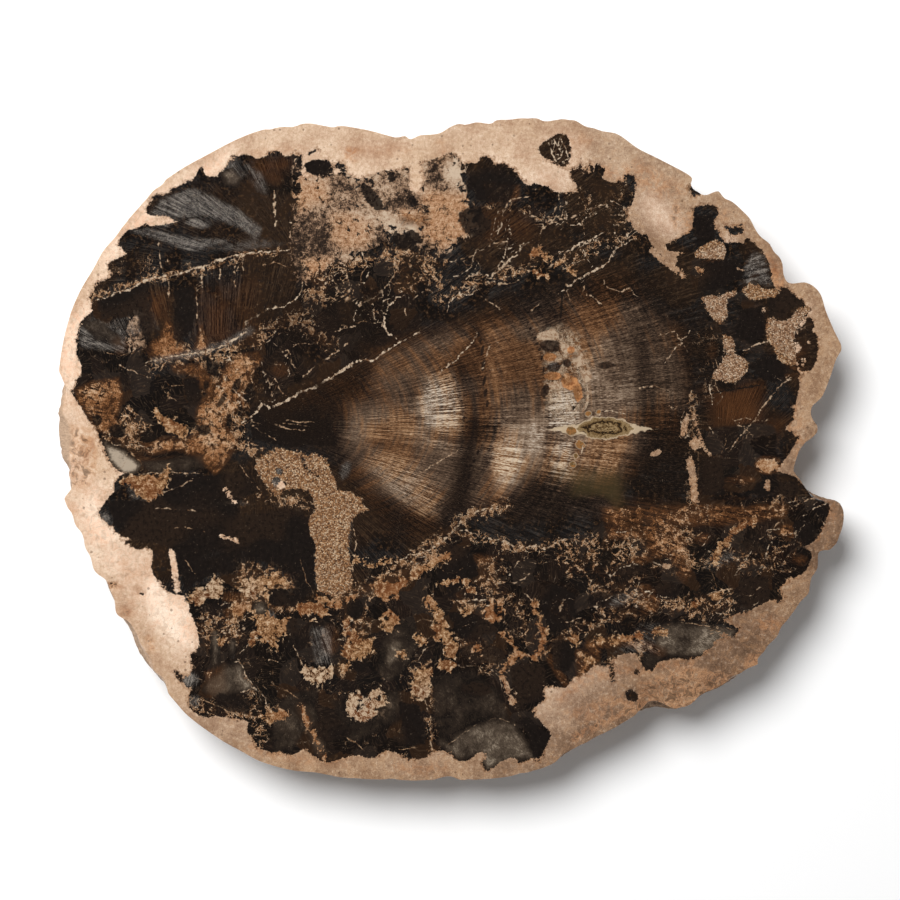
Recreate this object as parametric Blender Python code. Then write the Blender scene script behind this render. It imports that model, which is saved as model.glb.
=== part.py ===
"""A slice of petrified wood: one slab of silicified log, sawn flat on both faces.

The slab lies on its sawn underside with its polished face up. Its outline is the rounded,
lobed edge of the log. Its side is the log's rough rind, with ridges that run along the grain,
lumps, ledges and pits. Units are metres and +Z is up.
"""

import math
import random

import bmesh
import bpy
from mathutils import Vector, noise

# Size of the slab
SLICE_WIDTH = 0.360
SLICE_THICKNESS = 0.034
SLICE_NAME = "petrified_wood_slice"

# The outline was read off a straight-down view, in that view's pixels, clockwise from the left
VIEW_PIXELS_ACROSS = 785.4
VIEW_CENTRE_PIXEL = (449.65, 449.3)
METRES_PER_PIXEL = SLICE_WIDTH / VIEW_PIXELS_ACROSS
LEFT_SIDE_PIXELS = [
    (58, 440), (57, 415), (59, 390), (63, 355), (68, 330), (74, 310), (83, 290), (95, 270),
    (105, 252), (117, 238), (128, 223), (142, 207), (159, 188), (182, 171), (209, 156),
    (240, 140), (266, 131), (297, 127), (307, 124.5), (334, 129), (342, 127.5), (369, 132),
]
TOP_SIDE_PIXELS = [
    (396, 139), (404, 137), (411, 141), (420, 137), (439, 135), (457, 126), (490, 122.6),
    (496, 120), (535, 120), (545, 123), (570, 121), (599, 132), (617, 136), (637, 150),
    (657, 160), (687, 176), (691, 182), (690, 186), (697, 190), (703, 195), (717, 192),
    (722, 199), (732, 204), (750, 221), (763, 239), (777, 256), (784, 274), (791, 283),
]
RIGHT_SIDE_PIXELS = [
    (806, 284), (818, 294), (824, 312), (832, 331), (839.5, 348), (834, 360), (828, 378),
    (820, 397), (810, 407), (810, 418), (816, 428), (811, 438), (799, 448), (793, 464),
    (792, 471), (799, 480), (806, 489), (824, 497), (836, 501), (841.5, 509), (842, 522),
    (838, 537), (828, 549), (818, 551), (816, 566), (809, 580), (805, 600), (793, 617),
    (774, 640), (758, 656), (757, 665), (745, 668), (727, 684), (703, 696), (677, 710),
]
BOTTOM_SIDE_PIXELS = [
    (657, 709), (637, 713), (618, 724), (593, 737), (572, 750), (548, 764), (522, 772),
    (490, 777), (437, 779), (386, 778), (345, 776), (316, 771), (290, 768), (262, 760),
    (243, 750), (230, 743), (217, 735), (190, 715), (170, 693), (152, 672), (140, 656),
    (131, 640), (124, 625), (115, 614), (107, 593), (98, 576), (91, 562), (83, 540),
    (74, 516), (67, 500), (63, 470),
]
OUTLINE_PIXELS = LEFT_SIDE_PIXELS + TOP_SIDE_PIXELS + RIGHT_SIDE_PIXELS + BOTTOM_SIDE_PIXELS

# Mesh density: columns round the slab, and the depth of each ring of points below the top
COLUMN_COUNT = 456
RING_DEPTHS = [0.0, 0.0011, 0.0036, 0.0076, 0.0128, 0.0184, 0.0240, 0.0292, 0.0328, SLICE_THICKNESS]
OUTLINE_STEPS = 12
NORMAL_SPREAD = 5
CREASE_ANGLE = math.radians(40)

# How far the polished face stops short of the outline, by direction from the centre
# (degrees anticlockwise from the right, then millimetres)
FACE_SETBACKS = [
    (0, 1.2), (20, 1.0), (40, 1.0), (46, 1.6), (52, 0.9), (90, 0.9), (130, 0.9), (160, 1.0),
    (169, 2.4), (173, 8.0), (177, 14.5), (181, 14.0), (185, 8.0), (188, 1.8), (191, 1.5),
    (195, 2.6), (200, 3.8), (206, 3.6), (210, 3.6), (214, 5.6), (218, 3.4), (223, 1.2),
    (240, 1.1), (290, 1.4), (300, 2.2), (307, 5.4), (313, 5.4), (320, 3.2), (326, 1.8),
    (333, 3.4), (340, 1.6), (346, 2.0), (349, 3.6), (353, 3.4), (356, 1.4), (360, 1.2),
]
# Share of that setback left at each ring: the shoulder rolls over into the side
SHOULDER_SHARES = [1.0, 0.70, 0.26, 0.0, 0.0, 0.0, 0.0, 0.0, 0.0, 0.0]

# Ridges of the rough side run down the grain, so they change slowly with depth; lumps don't
RIDGE_DEPTH = 0.0026
RIDGE_SIZE = 0.0070
RIDGE_DEPTH_STRETCH = 0.16
RIDGE_BIAS = 0.5
LUMP_DEPTH = 0.0062
LUMP_SIZE = 0.030
LUMP_DEPTH_STRETCH = 1.3
LUMP_LAYER = 0.2
LUMP_BIAS = 0.25

# A ledge runs along parts of the side, below which the stone stands back
LEDGE_DEPTH = 0.0036
LEDGE_HEIGHT = 0.017
LEDGE_WANDER = 0.011
LEDGE_WANDER_SIZE = 0.022
LEDGE_WANDER_LAYER = 0.7
LEDGE_STRETCH_SIZE = 0.045
LEDGE_STRETCH_LAYER = 1.9
LEDGE_ONSET = -0.05
LEDGE_GAIN = 4
LEDGE_FADE = 0.0025

# The side leans in towards the sawn underside
UNDERCUT_DEPTH = 0.0030
UNDERCUT_POWER = 2.2
BOTTOM_ARRIS = 0.0013

# Near the polished edge only a share of the roughness is left
RIM_SHARE = 0.25
RIM_FADE = 0.005

# Small pits, scattered round the side
PIT_COUNT = 60
PIT_SEED = 11
PIT_RADII = (0.0030, 0.0072)
PIT_DEPTHS = (0.0016, 0.0042)
PIT_BELOW_TOP = 0.007
PIT_ABOVE_BOTTOM = 0.004
PIT_SHARPNESS = 1.6

# Deeper breaks in the rind, each where it shows: pixel, depth below the top, radius, depth in
BREAKS = [
    ((693, 188), 0.006, 0.0050, 0.0046),
    ((752, 662), 0.008, 0.0060, 0.0042),
    ((112, 604), 0.007, 0.0070, 0.0030),
    ((793, 472), 0.018, 0.0080, 0.0040),
    ((404, 139), 0.010, 0.0065, 0.0034),
    ((836, 520), 0.022, 0.0090, 0.0038),
    ((60, 470), 0.015, 0.0100, 0.0034),
    ((630, 716), 0.013, 0.0085, 0.0040),
]

CREAM_STONE = (0.62, 0.46, 0.34, 1.0)
STONE_ROUGHNESS = 0.5


def clear_scene():
    """Remove whatever objects the file opened with."""
    for old in list(bpy.data.objects):
        bpy.data.objects.remove(old, do_unlink=True)


def from_pixel(pixel):
    """Place a pixel of the straight-down view on the slab, in metres."""
    x = (pixel[0] - VIEW_CENTRE_PIXEL[0]) * METRES_PER_PIXEL
    y = (VIEW_CENTRE_PIXEL[1] - pixel[1]) * METRES_PER_PIXEL
    return Vector((x, y))


def spline_point(p0, p1, p2, p3, t):
    """Point at t between p1 and p2 on a Catmull-Rom curve."""
    a = 2 * p1
    b = p2 - p0
    c = 2 * p0 - 5 * p1 + 4 * p2 - p3
    d = 3 * p1 - p0 - 3 * p2 + p3
    return 0.5 * (a + b * t + c * t * t + d * t * t * t)


def smooth_outline():
    """The closed curve through the outline's points, as many short steps."""
    corners = [from_pixel(pixel) for pixel in OUTLINE_PIXELS]
    count = len(corners)
    curve = []
    for i in range(count):
        four = [corners[(i + k) % count] for k in (-1, 0, 1, 2)]
        for step in range(OUTLINE_STEPS):
            curve.append(spline_point(*four, step / OUTLINE_STEPS))
    return curve


def even_columns(curve):
    """Points spaced evenly along the closed curve, one for each column of the side."""
    lengths = [(curve[(i + 1) % len(curve)] - p).length for i, p in enumerate(curve)]
    spacing = sum(lengths) / COLUMN_COUNT
    columns = []
    walked = 0.0
    for i, p in enumerate(curve):
        after = curve[(i + 1) % len(curve)]
        while len(columns) < COLUMN_COUNT and len(columns) * spacing < walked + lengths[i]:
            t = (len(columns) * spacing - walked) / lengths[i]
            columns.append(p.lerp(after, t))
        walked += lengths[i]
    return columns


def outward_normals(columns):
    """Directions out of the outline, smoothed so that neighbouring columns don't cross."""
    normals = []
    for i in range(COLUMN_COUNT):
        along = columns[(i + NORMAL_SPREAD) % COLUMN_COUNT] - columns[i - NORMAL_SPREAD]
        normals.append(Vector((-along.y, along.x)).normalized())
    return normals


def face_setback(column):
    """How far inside the outline the polished face ends, in metres."""
    angle = math.degrees(math.atan2(column.y, column.x)) % 360
    for (a0, s0), (a1, s1) in zip(FACE_SETBACKS, FACE_SETBACKS[1:]):
        if a0 <= angle <= a1:
            t = (angle - a0) / (a1 - a0)
            ease = t * t * (3 - 2 * t)
            return (s0 + (s1 - s0) * ease) / 1000
    return FACE_SETBACKS[0][1] / 1000


def scatter_pits(columns):
    """Centres, radii and depths of the small pits, spread round the side."""
    draw = random.Random(PIT_SEED)
    pits = []
    for _ in range(PIT_COUNT):
        column = columns[draw.randrange(COLUMN_COUNT)]
        depth_below = draw.uniform(PIT_BELOW_TOP, SLICE_THICKNESS - PIT_ABOVE_BOTTOM)
        radius = draw.uniform(*PIT_RADII)
        pits.append((column, depth_below, radius, draw.uniform(*PIT_DEPTHS)))
    for pixel, depth_below, radius, deep in BREAKS:
        pits.append((from_pixel(pixel), depth_below, radius, deep))
    return pits


def noise_at(column, third, size):
    """Smooth noise at a column, with the third coordinate standing for depth or layer."""
    return noise.noise(Vector((column.x, column.y, third)) / size)


def ledge_at(column, depth):
    """How far the side stands back below its ledge, in metres."""
    wander = noise_at(column, LEDGE_WANDER_LAYER, LEDGE_WANDER_SIZE)
    below = depth - (LEDGE_HEIGHT + LEDGE_WANDER * wander)
    strength = noise_at(column, LEDGE_STRETCH_LAYER, LEDGE_STRETCH_SIZE) - LEDGE_ONSET
    if below <= 0 or strength <= 0:
        return 0.0
    return LEDGE_DEPTH * min(1.0, below / LEDGE_FADE) * min(1.0, strength * LEDGE_GAIN)


def roughness_at(column, depth, pits):
    """How far the broken side lies inside the outline at one point, in metres."""
    ridge = noise_at(column, depth * RIDGE_DEPTH_STRETCH, RIDGE_SIZE)
    lump = noise_at(column, depth * LUMP_DEPTH_STRETCH + LUMP_LAYER, LUMP_SIZE)
    inward = RIDGE_DEPTH * (RIDGE_BIAS + ridge) + LUMP_DEPTH * max(0.0, LUMP_BIAS + lump)
    inward += ledge_at(column, depth)
    inward += UNDERCUT_DEPTH * (depth / SLICE_THICKNESS) ** UNDERCUT_POWER
    for centre, depth_below, radius, deep in pits:
        distance_squared = (column - centre).length_squared + (depth - depth_below) ** 2
        inward += deep * math.exp(-PIT_SHARPNESS * distance_squared / radius ** 2)
    return inward


def column_profile(column, pits):
    """Inward offset of each ring of one column; the outermost ring touches the outline."""
    setback = face_setback(column)
    offsets = []
    for depth, share in zip(RING_DEPTHS, SHOULDER_SHARES):
        rough = roughness_at(column, depth, pits) * min(1.0, RIM_SHARE + depth / RIM_FADE)
        offsets.append(setback * share + rough)
    offsets[-1] += BOTTOM_ARRIS
    nearest = min(offsets)
    return [offset - nearest for offset in offsets]


def add_slab(collection):
    """Build the slab: a disc drawn out to the outline, then extruded ring by ring."""
    columns = even_columns(smooth_outline())
    normals = outward_normals(columns)
    pits = scatter_pits(columns)
    profiles = [column_profile(column, pits) for column in columns]

    slab = bmesh.new()
    disc = bmesh.ops.create_circle(slab, cap_ends=True, segments=COLUMN_COUNT, radius=SLICE_WIDTH / 2)
    ring = disc["verts"]
    place_ring(ring, columns, normals, profiles, 0)
    edges = list(slab.edges)
    for level in range(1, len(RING_DEPTHS)):
        drawn = bmesh.ops.extrude_edge_only(slab, edges=edges)["geom"]
        lower = {part for part in drawn if isinstance(part, bmesh.types.BMVert)}
        edges = [part for part in drawn if isinstance(part, bmesh.types.BMEdge)
                 and all(vert in lower for vert in part.verts)]
        ring = in_ring_order(lower, ring)
        place_ring(ring, columns, normals, profiles, level)
    bmesh.ops.contextual_create(slab, geom=edges)
    bmesh.ops.recalc_face_normals(slab, faces=list(slab.faces))
    smooth_side(slab)

    mesh = bpy.data.meshes.new(SLICE_NAME)
    slab.to_mesh(mesh)
    slab.free()
    stone = bpy.data.objects.new(SLICE_NAME, mesh)
    stone.data.materials.append(stone_material())
    collection.objects.link(stone)
    return stone


def in_ring_order(lower, upper):
    """The new ring's points in the order of the ring that they were drawn from."""
    by_place = {tuple(round(value, 7) for value in vert.co): vert for vert in lower}
    return [by_place[tuple(round(value, 7) for value in vert.co)] for vert in upper]


def place_ring(ring, columns, normals, profiles, level):
    """Move one ring's points out to their columns at its own depth."""
    height = SLICE_THICKNESS - RING_DEPTHS[level]
    for vert, column, normal, profile in zip(ring, columns, normals, profiles):
        flat = column - normal * profile[level]
        vert.co = (flat.x, flat.y, height)


def smooth_side(slab):
    """Shade the side smooth, with creases at its breaks and round both flat faces."""
    for face in slab.faces:
        face.smooth = True
    for edge in slab.edges:
        beside_flat = any(len(face.verts) == COLUMN_COUNT for face in edge.link_faces)
        edge.smooth = not beside_flat and edge.calc_face_angle() < CREASE_ANGLE


def stone_material():
    """Cream rind stone, dull where it is not polished."""
    material = bpy.data.materials.new("cream_stone")
    material.use_nodes = True
    shader = material.node_tree.nodes["Principled BSDF"]
    shader.inputs["Base Color"].default_value = CREAM_STONE
    shader.inputs["Roughness"].default_value = STONE_ROUGHNESS
    shader.inputs["Metallic"].default_value = 0.0
    return material


def main():
    clear_scene()
    collection = bpy.data.collections.new(SLICE_NAME)
    bpy.context.scene.collection.children.link(collection)
    add_slab(collection)


main()
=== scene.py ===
# %% [markdown]
# # A polished slice of petrified wood
#
# The real object is one slab of a log that turned to stone. Its core is nearly black silica with
# growth rings and rays still showing, and a pale rind of softer stone grew round it. One face is
# polished like glass, the other is only sawn, and the side is left as it broke.
#
# This lesson dresses the measured solid: it makes one fine mesh from the solid's own rings of
# points, works out where each kind of stone lies, and paints all of it with one node material.

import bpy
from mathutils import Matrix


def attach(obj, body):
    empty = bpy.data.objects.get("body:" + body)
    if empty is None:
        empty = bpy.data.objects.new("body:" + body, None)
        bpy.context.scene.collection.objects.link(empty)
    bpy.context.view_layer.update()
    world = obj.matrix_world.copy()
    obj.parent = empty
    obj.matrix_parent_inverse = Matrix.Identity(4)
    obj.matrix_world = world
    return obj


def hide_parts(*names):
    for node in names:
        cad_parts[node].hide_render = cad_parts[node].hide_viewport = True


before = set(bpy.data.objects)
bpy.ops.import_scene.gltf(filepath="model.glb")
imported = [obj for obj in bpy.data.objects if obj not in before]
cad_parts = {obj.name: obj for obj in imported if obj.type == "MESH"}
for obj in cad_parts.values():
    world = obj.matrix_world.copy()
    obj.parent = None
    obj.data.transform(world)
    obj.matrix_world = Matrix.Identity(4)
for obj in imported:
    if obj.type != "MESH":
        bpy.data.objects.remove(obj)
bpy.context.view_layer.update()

# %% Modules and the names used throughout
import math
import random

import bmesh
import bpy
import numpy as np
from mathutils import Vector, noise

NODE = "petrified_wood_slice"
PIECE = "petrified_wood_slice_stone"

# %% [markdown]
# ## Reading the solid's rings
#
# The solid is a stack of closed rings of points, one for each depth below the polished face. A
# fine mesh that starts from these rings keeps the measured shape exactly, so the rings are read
# back first: the points of one height are found, and their edges are walked in order.

# %% Walk the rings
LEVEL_TOLERANCE = 1e-5
FLAT_NORMAL = 0.999


def merged_copy(node):
    """A bmesh of the solid with its loose triangles joined."""
    solid = bmesh.new()
    solid.from_mesh(node.data)
    bmesh.ops.remove_doubles(solid, verts=list(solid.verts), dist=1e-6)
    solid.normal_update()
    return solid


def heights_of(solid):
    """Every height at which the solid has a ring, from the top down."""
    found = []
    for height in sorted((vert.co.z for vert in solid.verts), reverse=True):
        if not found or found[-1] - height > LEVEL_TOLERANCE:
            found.append(height)
    return found


def walk_ring(solid, height):
    """The points of one ring, anticlockwise seen from above."""
    neighbours = {}
    for edge in solid.edges:
        level = all(abs(vert.co.z - height) < LEVEL_TOLERANCE for vert in edge.verts)
        beside_wall = any(abs(face.normal.z) < FLAT_NORMAL for face in edge.link_faces)
        if level and beside_wall:
            first, second = edge.verts
            neighbours.setdefault(first, []).append(second)
            neighbours.setdefault(second, []).append(first)
    start = max(neighbours, key=lambda vert: vert.co.x)
    ring = [start]
    current, before = neighbours[start][0], start
    while current is not start:
        ring.append(current)
        onward = [vert for vert in neighbours[current] if vert is not before]
        before, current = current, onward[0]
    points = np.array([vert.co.xy for vert in ring])
    ahead = np.roll(points, -1, axis=0)
    area = np.sum(points[:, 0] * ahead[:, 1] - points[:, 1] * ahead[:, 0])
    return points if area > 0 else points[::-1]


def line_up(ring, above):
    """The ring started at the column that lies under the ring above's start."""
    shifts = [np.sum((np.roll(ring, -shift, axis=0) - above) ** 2) for shift in range(len(ring))]
    return np.roll(ring, -int(np.argmin(shifts)), axis=0)


solid = merged_copy(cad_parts[NODE])
ring_heights = heights_of(solid)
rings = [walk_ring(solid, ring_heights[0])]
for height in ring_heights[1:]:
    rings.append(line_up(walk_ring(solid, height), rings[-1]))
rings = np.array(rings)
solid.free()
top_height = ring_heights[0]
ring_depths = top_height - np.array(ring_heights)
print(f"{len(rings)} rings of {rings.shape[1]} points, {top_height * 1000:.1f} mm thick")

# %% [markdown]
# ## Curves between the rings
#
# The rings are coarse, so the fine side is read off smooth curves through them. A Catmull-Rom
# curve passes through every point it is given, which keeps the measured outline; going down the
# side, a Hermite curve does the same for rings that are not evenly spaced.

# %% Finer rings
SIDE_STEPS = [0.0, 0.00022, 0.0006, 0.0011, 0.0018, 0.0027, 0.0037, 0.0050, 0.0064, 0.0079, 0.0096,
              0.0115, 0.0136, 0.0158, 0.0181, 0.0204, 0.0228, 0.0252, 0.0275, 0.0297, 0.0315,
              0.0328, top_height]


def round_curve(points, where):
    """Points on the closed Catmull-Rom curve, at positions counted in points along it."""
    count = len(points)
    index = np.floor(where).astype(int)
    t = (where - index)[:, None]
    p0, p1, p2, p3 = (points[(index + step) % count] for step in (-1, 0, 1, 2))
    return 0.5 * (2 * p1 + (p2 - p0) * t + (2 * p0 - 5 * p1 + 4 * p2 - p3) * t ** 2
                  + (3 * p1 - p0 - 3 * p2 + p3) * t ** 3)


def side_at(depth, fine_rings):
    """All columns at one depth, on a Hermite curve down through the rings."""
    level = int(np.clip(np.searchsorted(ring_depths, depth) - 1, 0, len(ring_depths) - 2))
    slopes = np.gradient(fine_rings, ring_depths, axis=0)
    span = ring_depths[level + 1] - ring_depths[level]
    t = (depth - ring_depths[level]) / span
    h00, h10 = 2 * t ** 3 - 3 * t ** 2 + 1, t ** 3 - 2 * t ** 2 + t
    h01, h11 = -2 * t ** 3 + 3 * t ** 2, t ** 3 - t ** 2
    return (h00 * fine_rings[level] + h10 * span * slopes[level]
            + h01 * fine_rings[level + 1] + h11 * span * slopes[level + 1])


# %% [markdown]
# ## The fine mesh
#
# A polished face needs evenly spread points, because each point carries what kind of stone lies
# there. A square grid pressed into a disc gives that, with no crowded centre as a fan of
# triangles would have. The disc is then drawn out to the first ring, its border is extruded down
# the side step by step, and a coarser grid closes the underside.

# %% Grid, side and underside
TOP_CELLS = 244
BOTTOM_CELLS = 96
BOTTOM_INSET = 0.985
INNER_REACH = 0.90
SOFT_REACH = 16
SOFT_SHRINK = 0.88
FOLD_MARGIN = 2


def disc_place(u, v):
    """A point of the square from -1 to 1, moved into the unit disc."""
    x = u * np.sqrt(1 - v * v / 2)
    y = v * np.sqrt(1 - u * u / 2)
    return np.hypot(x, y), np.arctan2(y, x) % (2 * math.pi)


def ring_start_turn(ring):
    """The turn at which the ring's own first point lies."""
    return math.atan2(ring[0][1], ring[0][0]) / (2 * math.pi)


def softened(ring):
    """A rounder ring just inside the given one, which the inner part of a face is drawn to."""
    weights = np.hanning(2 * SOFT_REACH + 1)
    weights /= weights.sum()
    count = len(ring)
    around = (np.arange(count)[:, None] + np.arange(-SOFT_REACH, SOFT_REACH + 1)[None, :]) % count
    return (ring[around] * weights[None, :, None]).sum(axis=1) * SOFT_SHRINK


def spread_grid(mesh, cells, ring, height, inset):
    """Draw a square grid out to a ring; give back its border vertices and their shares."""
    made = bmesh.ops.create_grid(mesh, x_segments=cells, y_segments=cells, size=1.0)["verts"]
    square = np.array([vert.co.xy for vert in made])
    reach, turn = disc_place(square[:, 0], square[:, 1])
    share = (turn / (2 * math.pi) - ring_start_turn(ring)) % 1.0
    outer = round_curve(ring, share * len(ring)) * inset
    inner = round_curve(softened(ring), share * len(ring)) * inset
    inside = np.minimum(reach / INNER_REACH, 1.0)[:, None]
    beyond = np.clip((reach - INNER_REACH) / (1 - INNER_REACH), 0.0, 1.0)[:, None]
    places = inner * inside + (outer - inner) * beyond
    for vert, place in zip(made, places):
        vert.co = (place[0], place[1], height)
    on_border = [(part, vert) for part, far, vert in zip(share, reach, made) if far > 1 - 1e-6]
    on_border.sort(key=lambda pair: pair[0])
    return [vert for _, vert in on_border], np.array([part for part, _ in on_border])


def border_edges(verts):
    """The edges that join neighbouring vertices of a closed border."""
    members = set(verts)
    return [edge for vert in verts for edge in vert.link_edges
            if edge.is_boundary and edge.other_vert(vert) in members and edge.verts[0] is vert]


def mend_folds(mesh, height, upward):
    """Cut out the few faces that a deep notch has folded over, and fill the gap flat again."""
    level = {face for face in mesh.faces
             if all(abs(vert.co.z - height) < LEVEL_TOLERANCE for vert in face.verts)}
    folded = {face for face in level if face.normal.z * upward < 0}
    if not folded:
        return
    for _ in range(FOLD_MARGIN):
        corners = {vert for face in folded for vert in face.verts}
        folded |= {face for vert in corners for face in vert.link_faces} & level
    bmesh.ops.delete(mesh, geom=list(folded), context="FACES")
    rim = [edge for edge in mesh.edges if edge.is_boundary]
    bmesh.ops.triangle_fill(mesh, edges=rim, normal=(0, 0, upward), use_beauty=True)


def drawn_down(mesh, edges, upper):
    """Extrude a border once and return its new edges and vertices, in the old order."""
    made = bmesh.ops.extrude_edge_only(mesh, edges=edges)["geom"]
    lower = [part for part in made if isinstance(part, bmesh.types.BMVert)]
    by_place = {tuple(vert.co): vert for vert in lower}
    ordered = [by_place[tuple(vert.co)] for vert in upper]
    members = set(lower)
    new_edges = [part for part in made if isinstance(part, bmesh.types.BMEdge)
                 and all(vert in members for vert in part.verts)]
    return new_edges, ordered


# %% [markdown]
# ## Roughening the side
#
# The side broke along the log's grain, so it has upright ridges as well as lumps and small pits.
# The solid already has the large ones. The fine ones only ever cut inwards, so that the slab
# never grows past its measured size.

# %% Fine relief of the broken side
RIDGE_MM, RIDGE_SIZE, RIDGE_STRETCH = 0.55, 3.1, 0.14
GRAIN_MM, GRAIN_SIZE, GRAIN_STRETCH = 0.30, 2.4, 0.5
GRAIN_FRACTAL = (1.0, 2.1, 3)
PIT_MM, PIT_SPACING, PIT_STRETCH, PIT_REACH = 1.1, 5.2, 0.8, 0.30
PITTED_SIZE, PITTED_SHIFT, PITTED_LEAN = 14, Vector((5, 1, 2)), 0.15


def squashed(place, share):
    """A place with its height made less of, so that noise there runs upright."""
    return Vector((place.x, place.y, place.z * share))


def side_relief(x, y, depth):
    """How far the broken side is cut in at one point, in metres."""
    place = Vector((x, y, depth)) * 1000
    ridge = abs(noise.noise(squashed(place, RIDGE_STRETCH) / RIDGE_SIZE))
    grain = noise.fractal(squashed(place, GRAIN_STRETCH) / GRAIN_SIZE, *GRAIN_FRACTAL)
    nearest_pit = noise.voronoi(squashed(place, PIT_STRETCH) / PIT_SPACING)[0][0]
    pitted = max(0.0, noise.noise(place / PITTED_SIZE + PITTED_SHIFT) + PITTED_LEAN)
    pit = max(0.0, PIT_REACH - nearest_pit) / PIT_REACH * pitted * 2
    cut = RIDGE_MM * ridge + GRAIN_MM * max(0.0, 0.5 + grain) + PIT_MM * min(1.0, pit)
    return cut / 1000


# %% Build the slab
NORMAL_REACH = 4
CREST_FADE = 0.0016


def inward_ways(ring):
    """Unit directions into the slab from each point of a ring."""
    along = np.roll(ring, -NORMAL_REACH, axis=0) - np.roll(ring, NORMAL_REACH, axis=0)
    ways = np.stack([-along[:, 1], along[:, 0]], axis=1)
    return ways / np.linalg.norm(ways, axis=1)[:, None]


def build_stone():
    """The whole slab as one closed mesh."""
    stone = bmesh.new()
    border, shares = spread_grid(stone, TOP_CELLS, rings[0], top_height, 1.0)
    fine_rings = np.array([round_curve(ring, shares * len(ring)) for ring in rings])
    edges = border_edges(border)
    for depth in SIDE_STEPS[1:]:
        edges, border = drawn_down(stone, edges, border)
        places = side_at(min(depth, ring_depths[-1]), fine_rings)
        ways = inward_ways(places)
        share = min(1.0, depth / CREST_FADE)
        for vert, place, way in zip(border, places, ways):
            flat = place + way * side_relief(place[0], place[1], depth) * share
            vert.co = (flat[0], flat[1], top_height - depth)
    last_ring = np.array([vert.co.xy for vert in border])
    spread_grid(stone, BOTTOM_CELLS, last_ring, 0.0, BOTTOM_INSET)
    open_edges = [edge for edge in stone.edges if edge.is_boundary]
    bmesh.ops.triangle_fill(stone, edges=open_edges, normal=(0, 0, -1), use_beauty=True)
    stone.normal_update()
    bmesh.ops.recalc_face_normals(stone, faces=list(stone.faces))
    mend_folds(stone, top_height, 1)
    mend_folds(stone, 0.0, -1)
    bmesh.ops.recalc_face_normals(stone, faces=list(stone.faces))
    stone.normal_update()
    return stone


stone_mesh = build_stone()
loose = sum(1 for edge in stone_mesh.edges if not edge.is_manifold)
print(f"{len(stone_mesh.verts)} points, {len(stone_mesh.faces)} faces, {loose} open edges")

# %% [markdown]
# ## Places on the polished face
#
# Each kind of stone was placed on a straight-down view of the slab. A place is written
# "across,down", counted in steps from the upper left corner of that view, as a drawing program
# writes its paths. The slab is 785.4 steps wide, so a step is a little under half a millimetre.
# The face stands a touch nearer to the eye than the widest part of the side, so its own steps
# are slightly shorter. In the lists of shapes a plain path stands for a patch, which is closed.

# %% Paths, patches and lines
SLAB_WIDTH = 0.360
STEPS_ACROSS = 785.4
STEP = SLAB_WIDTH / STEPS_ACROSS
FACE_SHARE = 0.994
FACE_STEP = STEP * FACE_SHARE
STEP_MM, FACE_STEP_MM = STEP * 1000, FACE_STEP * 1000
VIEW_CENTRE = np.array([449.65, 449.3])
FAR_AWAY = 99.0
OVAL_CORNERS = 14


def path(text):
    """Turn 'across,down across,down' into rows of numbers."""
    return np.array([[float(part) for part in pair.split(",")] for pair in text.split()])


def patch(text):
    """A closed shape."""
    return {"places": path(text), "closed": True, "width": 0.0}


def line(width, text):
    """An open stroke of the given width, in steps."""
    return {"places": path(text), "closed": False, "width": width}


def oval(across, down, half_across, half_down, turn=0):
    """A closed oval, turned clockwise by so many degrees."""
    angles = np.linspace(0, 2 * math.pi, OVAL_CORNERS + 1)[:-1]
    x, y = half_across * np.cos(angles), half_down * np.sin(angles)
    lean = math.radians(turn)
    places = np.stack([across + x * math.cos(lean) - y * math.sin(lean),
                       down + x * math.sin(lean) + y * math.cos(lean)], axis=1)
    return {"places": places, "closed": True, "width": 0.0}


def ovals(text):
    """Several ovals, each one word of the numbers that oval takes."""
    return [oval(*[float(part) for part in word.split(",")]) for word in text.split()]


def to_segment(spots, first, second):
    """The way from each spot to the nearest point of one straight piece."""
    along = second - first
    share = np.clip((spots - first) @ along / max(along @ along, 1e-9), 0, 1)
    return first + share[:, None] * along - spots


def nearest_offset(spots, places, closed):
    """The shortest way from each spot to a whole path."""
    best = np.full((len(spots), 2), FAR_AWAY * 9)
    best_length = np.full(len(spots), np.inf)
    last = len(places) if closed else len(places) - 1
    for index in range(last):
        offset = to_segment(spots, places[index], places[(index + 1) % len(places)])
        length = np.hypot(offset[:, 0], offset[:, 1])
        closer = length < best_length
        best[closer] = offset[closer]
        best_length[closer] = length[closer]
    return best, best_length


def is_inside(spots, corners):
    """Which spots a closed shape holds, by counting how often a level line crosses its edge."""
    inside = np.zeros(len(spots), dtype=bool)
    x, y = spots[:, 0], spots[:, 1]
    for (ax, ay), (bx, by) in zip(corners, np.roll(corners, -1, axis=0)):
        if ay == by:
            continue
        crosses = (ay > y) != (by > y)
        inside ^= crosses & (x < (bx - ax) * (y - ay) / (by - ay) + ax)
    return inside


def depth_in(spots, shape, reach=30.0):
    """How deep each spot lies inside a shape, in steps; outside it the depth is negative."""
    depth = np.full(len(spots), -FAR_AWAY)
    margin = reach + shape["width"]
    low, high = shape["places"].min(axis=0) - margin, shape["places"].max(axis=0) + margin
    near = np.all((spots > low) & (spots < high), axis=1)
    if not near.any():
        return depth
    _, length = nearest_offset(spots[near], shape["places"], shape["closed"])
    if shape["closed"]:
        inside = is_inside(spots[near], shape["places"])
        depth[near] = np.where(inside, length, -length)
    else:
        depth[near] = shape["width"] / 2 - length
    return depth


def sharp(spots, shapes):
    """Depth inside whichever shape holds a spot deepest; a plain path stands for a patch."""
    depth = np.full(len(spots), -FAR_AWAY)
    for shape in shapes:
        whole = patch(shape) if isinstance(shape, str) else shape
        depth = np.maximum(depth, depth_in(spots, whole))
    return depth


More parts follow.
